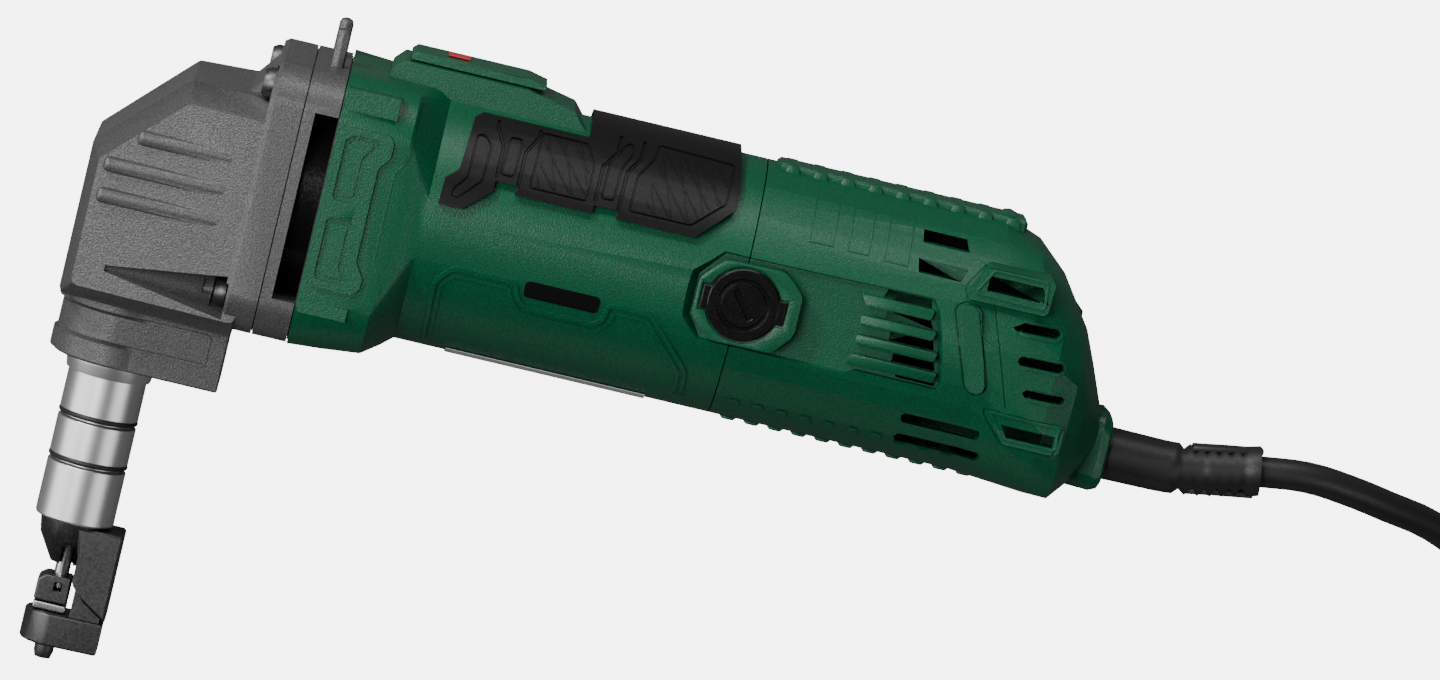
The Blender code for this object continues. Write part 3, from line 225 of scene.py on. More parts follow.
def smooth_by_angle(obj, degrees=38.0):
    for polygon in obj.data.polygons:
        polygon.use_smooth = True
    obj.data.set_sharp_from_angle(angle=math.radians(degrees))


def rounded_edges(obj, width):
    modifier = obj.modifiers.new("edges", "BEVEL")
    modifier.width = width * MM
    modifier.segments = 2
    modifier.limit_method = "ANGLE"
    modifier.angle_limit = math.radians(32.0)
    modifier.use_clamp_overlap = True
    modifier.miter_outer = "MITER_ARC"
    bake_modifiers(obj)


def shell_of(node):
    """A clean copy of a CAD node's mesh, which later stands for it."""
    source = frame["nodes"][node]
    mesh = source.data.copy()
    bm = bmesh.new()
    bm.from_mesh(mesh)
    bmesh.ops.remove_doubles(bm, verts=bm.verts[:], dist=2e-6)
    bmesh.ops.dissolve_limit(bm, angle_limit=math.radians(0.6), verts=bm.verts[:], edges=bm.edges[:])
    clean = bpy.data.meshes.new(node + "_shell")
    bm.to_mesh(clean)
    bm.free()
    bpy.data.meshes.remove(mesh)
    return link(bpy.data.objects.new(node + "_shell", clean))


def dressed(obj, finish, body):
    """Gives a finished piece its only material and the body it rides on."""
    obj.data.materials.clear()
    obj.data.materials.append(finish)
    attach(obj, body)


def finish_shell(shell, node, edge, degrees=38.0):
    """Rounds and smooths a shell, gives it its material, and lets it stand for its CAD node."""
    if edge:
        rounded_edges(shell, edge)
    smooth_by_angle(shell, degrees)
    even = shell.modifiers.new("even", "WEIGHTED_NORMAL")
    even.keep_sharp = True
    even.weight = 60
    bake_modifiers(shell)
    dressed(shell, finish_of(node), frame["nodes"][node]["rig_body"])
    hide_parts(node)


def place(obj, slot, body="tool", edge=0.0):
    """Finishes an added piece that rides on a body; its material has its slot's name."""
    if edge:
        rounded_edges(obj, edge)
    smooth_by_angle(obj)
    dressed(obj, FINISH[slot], body)


def place_both(name, obj, slot, edge=0.0):
    """Finishes an added piece and its mirror image, one on each side of the tool."""
    for side, piece in zip(("left", "right"), both(obj)):
        piece.name = name + "_" + side
        place(piece, slot, edge=edge)


# ---------------------------------------------------------------- shapes laid on a surface


def tree_of(obj):
    """A ray-cast tree of an object whose mesh lies in the row frame."""
    bm = bmesh.new()
    bm.from_mesh(obj.data)
    made = BVHTree.FromBMesh(bm)
    bm.free()
    return made


def height_at(tree, x, y, missing):
    """The z of the surface that faces +z at (x, y), in the datum."""
    hit = tree.ray_cast(at(x, y, ABOVE_ALL), Vector((0.0, 0.0, -1.0)))[0]
    return missing if hit is None else hit.z / MM + ORIGIN.z


def dense(path, step, closed=False):
    """The path with a point at least every step millimetres."""
    ends = path + [path[0]] if closed else path
    out = []
    for (ax, ay), (bx, by) in zip(ends, ends[1:]):
        count = max(1, math.ceil(math.dist((ax, ay), (bx, by)) / step))
        out += [(ax + (bx - ax) * k / count, ay + (by - ay) * k / count) for k in range(count)]
    return out if closed else out + [ends[-1]]


def softened(outline, radius, steps=3, closed=True):
    """Corners of an outline rounded off by short chords."""
    count = len(outline)
    out = []
    for i, (x, y) in enumerate(outline):
        if not closed and i in (0, count - 1):
            out.append((x, y))
            continue
        before, after = outline[i - 1], outline[(i + 1) % count]
        corner = Vector((x, y))
        back, ahead = Vector(before) - corner, Vector(after) - corner
        reach = min(radius, back.length * 0.45, ahead.length * 0.45)
        start, end = corner + back.normalized() * reach, corner + ahead.normalized() * reach
        for k in range(steps + 1):
            t = k / steps
            point = start * (1 - t) ** 2 + corner * (2 * t * (1 - t)) + end * t * t
            out.append((point.x, point.y))
    return out


def sweep(name, tree, path, profile, closed=False):
    """A closed strip along a path: each profile point is (distance to the left, height over the surface)."""
    points_2d = dense(path, SWEEP_STEP, closed)
    count = len(points_2d)
    verts = []
    for i, here in enumerate(points_2d):
        before = points_2d[i - 1] if closed or i else here
        after = points_2d[(i + 1) % count] if closed or i + 1 < count else here
        one = (Vector(here) - Vector(before)).normalized() if before != here else None
        two = (Vector(after) - Vector(here)).normalized() if after != here else None
        one, two = one or two, two or one
        along = (one + two).normalized()
        widen = 1.0 / max(0.5, along.dot(one))
        side = Vector((-along.y, along.x)) * widen
        middle = height_at(tree, *here, missing=0.0)
        for left, height in profile:
            x, y = here[0] + side.x * left, here[1] + side.y * left
            z = height_at(tree, x, y, missing=middle)
            if abs(z - middle) > MOST_SURFACE_JUMP:
                z = middle
            verts.append((x, y, z + height))
    width = len(profile)
    faces = []
    for i in range(count if closed else count - 1):
        j = (i + 1) % count
        for k in range(width):
            m = (k + 1) % width
            faces.append([i * width + k, i * width + m, j * width + m, j * width + k])
    if not closed:
        faces.append(list(range(width)))
        faces.append([(count - 1) * width + k for k in range(width)][::-1])
    made = mesh_object(name, verts, faces)
    outward(made)
    return made


def ridge(name, tree, path, width, height, closed=False):
    """A raised line with sloping sides, rooted below the surface."""
    top, foot = width / 2, width / 2 + height * 0.6
    profile = [(-foot, -RIDGE_ROOT), (-top, height), (top, height), (foot, -RIDGE_ROOT)]
    return sweep(name, tree, path, profile, closed)


def groove(name, tree, path, width, depth, closed=False):
    """A cutter for a sunk line, wider where it comes out of the surface."""
    floor, mouth = width * 0.3, width * 0.65
    profile = [(-floor, -depth), (-mouth, 0.7), (mouth, 0.7), (floor, -depth)]
    return sweep(name, tree, path, profile, closed)


def plate(name, tree, outline, height, depth=0.8):
    """A closed pad over an outline that follows the surface."""
    bm = bmesh.new()
    face = bm.faces.new([bm.verts.new((x, y, 0.0)) for x, y in outline])
    face.normal_update()
    if face.normal.z < 0:
        face.normal_flip()
    low = min(y for _, y in outline)
    high = max(y for _, y in outline)
    level = math.ceil(low / PLATE_SLICE) * PLATE_SLICE
    while level < high:
        geometry = bm.verts[:] + bm.edges[:] + bm.faces[:]
        bmesh.ops.bisect_plane(bm, geom=geometry, plane_co=(0, level, 0), plane_no=(0, 1, 0))
        level += PLATE_SLICE
    base = bm.verts[:]
    made = bmesh.ops.extrude_face_region(bm, geom=bm.faces[:])
    top = {g for g in made["geom"] if isinstance(g, bmesh.types.BMVert)}
    for vert in base + list(top):
        ground = height_at(tree, vert.co.x, vert.co.y, missing=0.0)
        vert.co.z = ground + (height if vert in top else -depth)
    bmesh.ops.recalc_face_normals(bm, faces=bm.faces[:])
    for vert in bm.verts:
        vert.co = at(*vert.co)
    mesh = bpy.data.meshes.new(name)
    bm.to_mesh(mesh)
    bm.free()
    return link(bpy.data.objects.new(name, mesh))


def winding_sign(outline):
    """1 for an outline that runs anticlockwise, -1 for one that runs clockwise."""
    area = sum(ax * by - bx * ay for (ax, ay), (bx, by) in zip(outline, outline[1:] + outline[:1]))
    return 1.0 if area > 0 else -1.0


def shrunk(outline, distance):
    """An outline with every edge moved inwards."""
    sign = winding_sign(outline)
    count = len(outline)
    out = []
    for i in range(count):
        a, b, c = Vector(outline[i - 1]), Vector(outline[i]), Vector(outline[(i + 1) % count])
        one, two = (b - a).normalized(), (c - b).normalized()
        inward = Vector((-(one + two).y, (one + two).x)) * sign
        inward.normalize()
        reach = distance / max(0.35, inward.dot(Vector((-one.y, one.x)) * sign))
        out.append((b.x + inward.x * reach, b.y + inward.y * reach))
    return out


def clipped(start, end, outline):
    """The part of a line that lies inside a convex outline, or None."""
    a, b = Vector(start), Vector(end)
    low, high = 0.0, 1.0
    sign = winding_sign(outline)
    for p, q in zip(outline, outline[1:] + outline[:1]):
        edge = Vector(q) - Vector(p)
        normal = Vector((-edge.y, edge.x)) * sign
        inside_a, inside_b = normal.dot(a - Vector(p)), normal.dot(b - Vector(p))
        if inside_a < 0 and inside_b < 0:
            return None
        if inside_a * inside_b < 0:
            t = inside_a / (inside_a - inside_b)
            if inside_a < 0:
                low = max(low, t)
            else:
                high = min(high, t)
    if high - low < 0.02:
        return None
    return tuple(a.lerp(b, low)), tuple(a.lerp(b, high))


# ---------------------------------------------------------------- materials


def add(tree, kind, **inputs):
    node = tree.nodes.new(kind)
    for name, value in inputs.items():
        node.inputs[name.replace("_", " ")].default_value = value
    return node


def object_texture(tree, kind, scale, stretch=(1.0, 1.0, 1.0), **inputs):
    """A texture in the object's own metres."""
    coordinates = tree.nodes.get("coordinates")
    if coordinates is None:
        coordinates = tree.nodes.new("ShaderNodeTexCoord")
        coordinates.name = "coordinates"
    mapping = add(tree, "ShaderNodeMapping", Scale=stretch)
    tree.links.new(coordinates.outputs["Object"], mapping.inputs["Vector"])
    texture = add(tree, kind, Scale=scale, **inputs)
    tree.links.new(mapping.outputs["Vector"], texture.inputs["Vector"])
    return texture


def remap(tree, value, low, high, to_low, to_high):
    node = tree.nodes.new("ShaderNodeMapRange")
    tree.links.new(value, node.inputs["Value"])
    node.inputs["From Min"].default_value = low
    node.inputs["From Max"].default_value = high
    node.inputs["To Min"].default_value = to_low
    node.inputs["To Max"].default_value = to_high
    return node.outputs["Result"]


def mixed(tree, factor, first, second):
    """A colour between two; each is a socket or an RGB tuple."""
    node = tree.nodes.new("ShaderNodeMix")
    node.data_type = "RGBA"
    tree.links.new(factor, node.inputs["Factor"])
    for socket, value in ((node.inputs[6], first), (node.inputs[7], second)):
        if isinstance(value, tuple):
            socket.default_value = (*value, 1.0)
        else:
            tree.links.new(value, socket)
    return node.outputs[2]


def bump(tree, height, strength, distance):
    node = add(tree, "ShaderNodeBump", Strength=strength, Distance=distance)
    tree.links.new(height, node.inputs["Height"])
    return node.outputs["Normal"]


def shaded(colour, factor):
    return tuple(min(1.0, c * factor) for c in colour)


def new_material(name, roughness, metallic=0.0, specular=0.5):
    made = bpy.data.materials.new(name)
    made.use_nodes = True
    shader = made.node_tree.nodes["Principled BSDF"]
    shader.inputs["Roughness"].default_value = roughness
    shader.inputs["Metallic"].default_value = metallic
    shader.inputs["Specular IOR Level"].default_value = specular
    return made, made.node_tree, shader


def moulded(name, colour, roughness, grain_size, contrast, depth, metallic=0.0, specular=0.5):
    """Spark-eroded plastic or sprayed casting: fine speckle in colour, gloss and relief, soft blotches."""
    made, tree, shader = new_material(name, roughness, metallic, specular)
    made.diffuse_color = (*colour, 1.0)
    grain = object_texture(tree, "ShaderNodeTexNoise", 1000.0 / grain_size, Detail=2.0, Roughness=0.6)
    blotch = object_texture(tree, "ShaderNodeTexNoise", 90.0, Detail=3.0, Roughness=0.5)
    speck = remap(tree, grain.outputs["Fac"], 0.36, 0.66, 0.0, 1.0)
    fine = mixed(tree, speck, shaded(colour, 1.0 - contrast), shaded(colour, 1.0 + contrast * 1.3))
    soft = remap(tree, blotch.outputs["Fac"], 0.3, 0.7, 0.0, 0.16)
    tree.links.new(mixed(tree, soft, fine, shaded(colour, 0.72)), shader.inputs["Base Color"])
    gloss = remap(tree, grain.outputs["Fac"], 0.3, 0.7, roughness + 0.09, roughness - 0.07)
    tree.links.new(gloss, shader.inputs["Roughness"])
    tree.links.new(bump(tree, grain.outputs["Fac"], 0.55, depth * MM), shader.inputs["Normal"])
    return made


def metal(name, colour, roughness, stretch, scale=900.0, contrast=0.10, depth=0.006, worn=None, calm=1.0):
    """Machined metal: fine tool marks across one axis, faint stains and, if given, brighter worn edges.

    calm scales the stains and the change in gloss: 0 is even metal."""
    made, tree, shader = new_material(name, roughness, 1.0)
    made.diffuse_color = (*colour, 1.0)
    marks = object_texture(tree, "ShaderNodeTexNoise", scale, stretch, Detail=4.0, Roughness=0.65)
    stain = object_texture(tree, "ShaderNodeTexNoise", 260.0, Detail=4.0, Roughness=0.6)
    streak = remap(tree, marks.outputs["Fac"], 0.3, 0.7, 0.0, 1.0)
    base = mixed(tree, streak, shaded(colour, 1.0 - contrast), shaded(colour, 1.0 + contrast))
    dull = remap(tree, stain.outputs["Fac"], 0.5, 0.8, 0.0, 0.35 * calm)
    base = mixed(tree, dull, base, shaded(colour, 0.7))
    if worn is not None:
        geometry = tree.nodes.new("ShaderNodeNewGeometry")
        edge = remap(tree, geometry.outputs["Pointiness"], 0.53, 0.62, 0.0, 0.8)
        base = mixed(tree, edge, base, worn)
    tree.links.new(base, shader.inputs["Base Color"])
    gloss = remap(tree, marks.outputs["Fac"], 0.3, 0.7, roughness - 0.05 * calm, roughness + 0.10 * calm)
    tree.links.new(gloss, shader.inputs["Roughness"])
    tree.links.new(bump(tree, marks.outputs["Fac"], 0.4, depth * MM), shader.inputs["Normal"])
    return made


def winding(name, colour, stretch):
    """Enamelled wire: round strands beside each other, with painted shade in the gaps between them and a
    painted highlight along each strand.
    """
    made, tree, shader = new_material(name, 0.28, 0.9)
    made.diffuse_color = (*colour, 1.0)
    strands = object_texture(tree, "ShaderNodeTexWave", 320.0, stretch, Distortion=1.2, Detail=1.0)
    # painted shade and highlight: the strands' colour runs from 0.35 of the copper in the gaps to 1.1 on the
    # crowns, standing in for light on round wire
    tone = remap(tree, strands.outputs["Fac"], 0.0, 1.0, 0.0, 1.0)
    tree.links.new(mixed(tree, tone, shaded(colour, 0.35), shaded(colour, 1.1)), shader.inputs["Base Color"])
    tree.links.new(bump(tree, strands.outputs["Fac"], 0.8, 0.15 * MM), shader.inputs["Normal"])
    return made


def label_film(name):
    """Plain printed film: a pale sheet with a faint paper grain."""
    made, tree, shader = new_material(name, 0.35)
    made.diffuse_color = (0.6, 0.6, 0.6, 1.0)
    paper = object_texture(tree, "ShaderNodeTexNoise", 1400.0, Detail=2.0)
    fibre = remap(tree, paper.outputs["Fac"], 0.3, 0.7, 0.0, 1.0)
    tree.links.new(mixed(tree, fibre, (0.60, 0.60, 0.60), (0.74, 0.74, 0.73)), shader.inputs["Base Color"])
    tree.links.new(bump(tree, paper.outputs["Fac"], 0.2, 0.01 * MM), shader.inputs["Normal"])
    return made


EVEN = (1.0, 1.0, 1.0)
FINISH = {
    "green_plastic": moulded(
        "green_plastic_fine", (0.0005, 0.088, 0.037), 0.33, 0.42, 0.30, 0.17, specular=0.45
    ),
    "cast_grey": moulded("cast_grey_fine", (0.100, 0.100, 0.102), 0.36, 0.42, 0.34, 0.16, metallic=0.30),
    "barrel_steel": metal(
        "barrel_steel_fine", (0.90, 0.90, 0.91), 0.36, (0.02, 2.0, 0.02), 1500.0, 0.02, 0.0002, calm=0.12
    ),
    "black_steel": metal(
        "black_steel_fine", (0.085, 0.085, 0.088), 0.42, EVEN, 1600.0, 0.3, 0.02, worn=(0.20, 0.20, 0.20)
    ),
    "bright_steel": metal(
        "bright_steel_fine", (0.66, 0.66, 0.68), 0.26, (1.0, 0.1, 1.0), 1400.0, 0.04, 0.001, calm=0.3
    ),
    "grip_rubber": moulded(
        "grip_rubber_fine", (0.0075, 0.0070, 0.0070), 0.36, 0.30, 0.20, 0.04, specular=0.26
    ),
    "black_plastic": moulded(
        "black_plastic_fine", (0.006, 0.006, 0.0065), 0.20, 0.60, 0.12, 0.01, specular=0.4
    ),
    "signal_red": moulded("signal_red_fine", (0.60, 0.030, 0.035), 0.38, 0.50, 0.12, 0.02),
    "copper": winding("copper_fine", (0.72, 0.30, 0.13), (1.0, 0.25, 1.0)),
    "bush_brass": metal("bush_brass_fine", (0.70, 0.50, 0.22), 0.30, EVEN),
    "brass": metal("brass_fine", (0.70, 0.52, 0.24), 0.30, EVEN),
    "carbon": moulded("carbon_fine", (0.03, 0.03, 0.032), 0.50, 0.25, 0.30, 0.03),
    "lamination": metal("lamination_fine", (0.30, 0.30, 0.31), 0.42, (6.0, 0.02, 0.02), 400.0, 0.35, 0.05),
    "label_film": label_film("label_film_fine"),
    "cable_rubber": moulded("cable_rubber_fine", (0.0155, 0.0155, 0.0160), 0.46, 0.50, 0.20, 0.03),
}


def finish_of(node):
    """The fine material for a CAD node, by the name of the one it came with."""
    return FINISH[SLOT[node]]


# ---------------------------------------------------------------- camera, floor and light


def make_camera():
    data = bpy.data.cameras.new("view")
    data.lens = CAMERA_LENS
    data.sensor_width = 36.0
    data.clip_start, data.clip_end = 0.05, 20.0
    camera = link(bpy.data.objects.new("view", data))
    back = Vector(CAMERA_FROM).normalized()
    up = Vector((-math.sin(BODY_TILT), math.cos(BODY_TILT), 0.0))
    right = up.cross(back).normalized()
    up = back.cross(right).normalized()
    rotation = Matrix((right, up, back)).transposed()
    camera.matrix_world = Matrix.Translation(at(*CAMERA_TARGET) + back * CAMERA_DISTANCE) @ rotation.to_4x4()
    bpy.context.scene.camera = camera


def make_floor():
    """A white sweep that glows for the camera only, as paper lit from behind does."""
    mesh = bpy.data.meshes.new("floor")
    corners = ((-1, -1), (1, -1), (1, 1), (-1, 1))
    mesh.from_pydata([(FLOOR_HALF * x, FLOOR_HALF * y, -0.0006) for x, y in corners], [], [(0, 1, 2, 3)])
    floor = link(bpy.data.objects.new("floor", mesh))
    made, tree, shader = new_material("floor_paper", 0.9, 0.0, 0.1)
    paper = object_texture(tree, "ShaderNodeTexNoise", 60.0, Detail=3.0)
    tone = remap(tree, paper.outputs["Fac"], 0.3, 0.7, 0.0, 1.0)
    tree.links.new(mixed(tree, tone, (0.11, 0.11, 0.11), (0.12, 0.12, 0.12)), shader.inputs["Base Color"])
    path = tree.nodes.new("ShaderNodeLightPath")
    shader.inputs["Emission Color"].default_value = (1.0, 1.0, 1.0, 1.0)
    glow = remap(tree, path.outputs["Is Camera Ray"], 0.0, 1.0, 0.0, FLOOR_GLOW)
    tree.links.new(glow, shader.inputs["Emission Strength"])
    mesh.materials.append(made)


def area_light(name, place_at, size, energy):
    """A white rectangle of light, in metres and watts, turned to the tool."""
    data = bpy.data.lights.new(name, "AREA")
    data.shape = "RECTANGLE"
    data.size, data.size_y = size
    data.energy = energy
    lamp = link(bpy.data.objects.new(name, data))
    lamp.location = place_at
    aim = Vector((0.0, 0.0, 0.03)) - Vector(place_at)
    lamp.rotation_mode = "QUATERNION"
    lamp.rotation_quaternion = aim.to_track_quat("-Z", "Y")


def make_lights():
    area_light("top_strip", (-0.35, 1.50, 0.62), (1.8, 0.70), 13.0)
    area_light("front_card", (-0.75, 0.30, 1.90), (0.8, 0.8), 22.0)
    area_light("rake", (-1.00, 1.00, 0.75), (0.22, 0.22), 11.0)
    area_light("left_card", (-1.45, -0.1, 0.75), (0.8, 1.4), 8.5)
    area_light("right_card", (1.35, -0.2, 1.25), (0.6, 1.2), 5.0)
    area_light("low_fill", (0.2, -1.60, 0.12), (1.4, 0.4), 0.9)
    world = bpy.data.worlds.new("studio")
    world.use_nodes = True
    world.node_tree.nodes["Background"].inputs["Color"].default_value = (1.0, 1.0, 1.0, 1.0)
    world.node_tree.nodes["Background"].inputs["Strength"].default_value = WORLD_GLOW
    bpy.context.scene.world = world


# ---------------------------------------------------------------- cord


def blend(t):
    """0 to 1 with no kink at either end."""
    t = min(1.0, max(0.0, t))
    return t * t * (3.0 - 2.0 * t)


def coil_points():
    """Turns wound inwards, outwards and inwards again, and the end led over the top to the outside."""
    radii = [COIL_MIDDLE + TURN_STEP * k for k in (1, 0, -1)]
    order = radii + radii[::-1] + radii
    entry = COIL_MIDDLE + TURN_STEP + CORD_RADIUS + TURN_STEP / 2 + 0.3
    heights = [CORD_REST + LAYER_STEP * (k // TURNS_PER_LAYER) for k in range(len(order))]
    order = [entry] + order
    heights = [CORD_REST] + heights
    out = []
    for step in range(int(COIL_TURNS * COIL_POINTS_PER_TURN) + 1):
        turn = step / COIL_POINTS_PER_TURN
        ring = min(int(turn), len(order) - 2)
        part = blend((turn - ring) / SHIFT_BETWEEN_TURNS)
        radius = order[ring] + (order[ring + 1] - order[ring]) * part
        height = heights[ring] + (heights[ring + 1] - heights[ring]) * part
        if turn > LAST_WOUND_TURN:
            away = (turn - LAST_WOUND_TURN) / (COIL_TURNS - LAST_WOUND_TURN)
            radius += (entry - radius) * blend(away * 1.15)
            hump = LAYER_STEP * blend(away * 3.2)
            down = blend((away - 0.42) / 0.58)
            height = (height + hump) * (1 - down) + CORD_REST * down
        angle = -math.pi / 2 + 2 * math.pi * turn
        x, y = COIL_CENTRE[0] + radius * math.cos(angle), COIL_CENTRE[1] + radius * math.sin(angle)
        out.append((x, y, height))
    return out


def cord_points():
    """The cord's line: out of the relief, down to the bench, round the coil, and on to the plug."""
    lead = [
        (262.0, 0.5, 0.0),
        (272.0, 1.2, 0.0),
        (283.0, 3.2, 0.0),
        (294.0, 4.9, 0.0),
        (305.0, 6.0, -0.8),
        (316.0, 4.8, -4.0),
        (328.0, 2.2, -10.0),
        (341.0, -1.2, -18.5),
        (353.0, -7.5, -26.0),
        (364.0, -17.0, CORD_REST + 0.8),
        (376.0, -30.0, CORD_REST),
        (389.0, -42.0, CORD_REST),
        (405.0, -52.4, CORD_REST),
        (422.0, -57.0, CORD_REST),
    ]
    tail = [(505.7, 16.0, CORD_REST + 0.4), (507.6, 27.0, -28.2), (507.6, 38.5, -27.6)]
    return lead + coil_points() + tail


def make_cord():
    points = cord_points()
    curve = bpy.data.curves.new("mains_lead", "CURVE")
    curve.dimensions = "3D"
    spline = curve.splines.new("BEZIER")
    spline.bezier_points.add(len(points) - 1)
    for knot, point in zip(spline.bezier_points, points):
        knot.co = at(*point)
        knot.handle_left_type = knot.handle_right_type = "AUTO"
    spline.resolution_u = 3
    curve.bevel_depth = CORD_RADIUS * MM
    curve.bevel_resolution = 5
    curve.use_fill_caps = True
    lead = link(bpy.data.objects.new("mains_lead", curve))
    curve.materials.append(FINISH["cable_rubber"])
    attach(lead, "tool")
    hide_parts("cord", "cord_coil", "cord_tail")


# ---------------------------------------------------------------- pieces from the frame


def dress_frame():
    """Every CAD node gets its fine material, so one that keeps its shape needs no more."""
    for name, node in frame["nodes"].items():
        finish = finish_of(name)
        for slot in node.material_slots:
            slot.material = finish


BOSS = [
    (143.4, 15.0), (143.4, 24.6), (148.8, 30.2), (164.0, 30.4), (169.2, 25.6), (169.2, 15.4), (164.6, 10.0),
    (148.8, 9.8),
]
POCKET = [
    (139.9, 13.5), (139.9, 26.2), (147.0, 33.4), (202.0, 33.4), (203.9, 29.4), (208.4, 11.4), (207.5, 9.5),
    (186.0, 9.5), (184.0, 8.0), (145.5, 8.0),
]
POCKET_FLOOR = [
    (143.2, 14.6), (143.2, 24.8), (148.4, 31.2), (201.0, 32.0), (202.6, 29.0), (206.9, 11.8), (206.4, 10.6),
    (186.4, 10.6), (184.4, 9.4), (146.8, 9.4),
]
POCKET_LEVEL = 29.3
RIBS = [
    [(183.4, 29.4), (201.9, 29.4), (201.3, 26.9), (184.9, 26.9)],
    [(184.4, 24.4), (203.4, 24.4), (202.8, 22.1), (184.4, 22.1)],
    [(184.4, 19.4), (204.9, 19.4), (204.3, 17.0), (184.4, 17.0)],
    [(184.4, 14.4), (205.9, 14.4), (205.4, 11.8), (183.4, 11.8)],
]
VENTS = [
    [(189.6, 31.8), (200.6, 31.8), (201.0, 29.5), (188.6, 29.5)],
    [(190.4, 26.8), (201.4, 26.8), (202.6, 24.5), (190.4, 24.5)],
    [(192.4, 22.0), (203.0, 22.0), (203.9, 19.5), (192.4, 19.5)],
    [(194.4, 16.9), (204.6, 16.9), (205.4, 14.5), (194.4, 14.5)],
    [(196.4, 11.7), (205.8, 11.7), (206.3, 10.9), (196.4, 10.9)],
]
LINE_PANEL = [
    (80.9, -9.0), (80.2, 7.8), (83.9, 12.2), (99.8, 12.2), (100.4, 9.2), (102.9, 6.2), (120.9, 6.2),
    (122.8, 8.3), (123.2, 12.2), (133.9, 12.2), (145.6, -0.4), (146.2, -7.6),
]
PANEL_STEP = [
    (82.4, -9.0), (81.8, 7.2), (84.7, 10.5), (98.4, 10.5), (98.9, 8.6), (102.2, 4.5), (121.6, 4.5),
    (124.4, 7.6), (124.8, 10.5), (133.2, 10.5), (143.9, -1.0), (144.6, -7.6),
]
BADGE = [(102.1, 9.2), (121.0, 9.2), (121.0, 13.5), (102.1, 13.5)]
GRIP_PADS = [
    [(97.6, 35.9), (111.8, 35.9), (112.0, 44.7), (109.4, 48.4), (98.0, 48.4)],
    [(122.7, 36.0), (138.3, 36.0), (145.7, 42.5), (146.2, 51.0), (126.8, 51.4), (126.5, 48.7), (123.0, 44.0)],
]
GRIP_INSETS = [
    [
        (82.3, 44.6), (83.8, 45.3), (86.2, 43.5), (85.9, 34.9), (80.9, 29.7), (79.3, 29.9), (79.3, 31.5),
        (82.2, 34.9),
    ],
    [(90.4, 46.0), (90.0, 37.4), (93.2, 37.4), (93.6, 46.0)],
    [(115.4, 37.4), (118.4, 37.4), (118.7, 45.0), (121.0, 48.4), (120.6, 50.4), (118.9, 50.2), (115.6, 45.2)],
]
GRIP_SEAMS = [
    [(89.0, 34.2), (89.2, 43.5), (86.9, 47.5), (86.9, 49.0)],
    [(94.6, 34.2), (94.8, 43.5), (97.4, 47.5), (97.4, 49.0)],
    [(113.9, 34.0), (114.1, 44.4), (117.0, 47.9), (117.2, 51.6)],
    [(119.9, 34.0), (120.3, 44.4), (123.0, 47.9), (123.2, 51.6)],
]
NET_TOP, NET_FOOT = 53.0, 35.0
NET_FALLS = (1.15, 2.6)
NET_PITCH = 4.2
NET_REACH = 22.0
STADIUM = [
    (207.5, 32.0), (209.5, 33.0), (211.8, 32.0), (218.1, 14.5), (217.6, 12.6), (215.9, 11.7), (213.6, 13.1),
    (207.1, 30.8),
]
REAR_SLOTS = [((222.4, 234.4), (28.6, 32.2)), ((225.4, 237.2), (20.8, 24.2)), ((228.4, 239.4), (13.0, 16.3))]
EMBOSSED = [((167.7, 173.6), 38.7), ((177.4, 182.7), 38.6), ((186.7, 192.6), 38.3)]
EMBOSS_TOP = 48.5
BELLY_PITCH = 6.05
RAIL_PITCH = 7.05
WINDOW_RIDGES = [
    [(210.4, 36.2), (213.9, 42.7), (227.4, 42.7), (227.9, 35.9)],
    [(221.0, 8.1), (238.5, 8.0), (239.0, 2.2), (225.5, 2.2)],
]
WINDOW_GROOVES = [
    [(207.9, 36.9), (212.4, 43.2), (229.1, 43.5), (229.1, 34.4), (209.0, 34.3)],
    [(219.3, 8.8), (219.5, 7.3), (225.6, 0.5), (238.6, 0.4), (239.6, 8.2)],
]
CAST_LINE = [(-7.4, -20.9), (29.6, -20.9), (29.6, -28.4), (-7.4, -28.4)]
COLLAR_PLATES = [
    [(52.2, 23.8), (55.8, 23.8), (55.8, 33.6), (58.1, 37.2), (57.8, 37.9), (53.9, 37.9), (52.2, 36.6)],
    [(52.2, 16.6), (56.2, 16.6), (56.2, 6.0), (58.0, 3.5), (53.1, 3.5), (52.2, 4.4)],
]
COLLAR_EDGE = [(67.2, 49.7), (66.8, 35.7), (64.3, 31.8), (64.3, 8.8), (67.3, 4.7), (67.4, -3.4)]


def cylinder_along_x(name, radius, low, high, sides=128):
    ring = [(math.cos(2 * math.pi * k / sides), math.sin(2 * math.pi * k / sides)) for k in range(sides)]
    verts = [(x, MOTOR_Y + radius * c, radius * s) for x in (low, high) for c, s in ring]
    faces = [list(range(sides)), list(range(sides, 2 * sides))[::-1]]
    faces += [[k, (k + 1) % sides, sides + (k + 1) % sides, sides + k] for k in range(sides)]
    made = mesh_object(name, verts, faces)
    outward(made)
    return made


def sunk_floor(low, high):
    """The material behind the sunken panel: a block clipped to just inside the body's round."""
    block = prism("sunk_floor", shrunk(POCKET, -1.6), 26.8, 31.5)
    boolean(block, [cylinder_along_x("body_round", MOTOR_RADIUS - 0.25, low, high)], "INTERSECT")
    return block


def pocket_cutter():
    return prism("pocket", POCKET_FLOOR, POCKET_LEVEL, 34.5, top=shrunk(POCKET, -0.3))


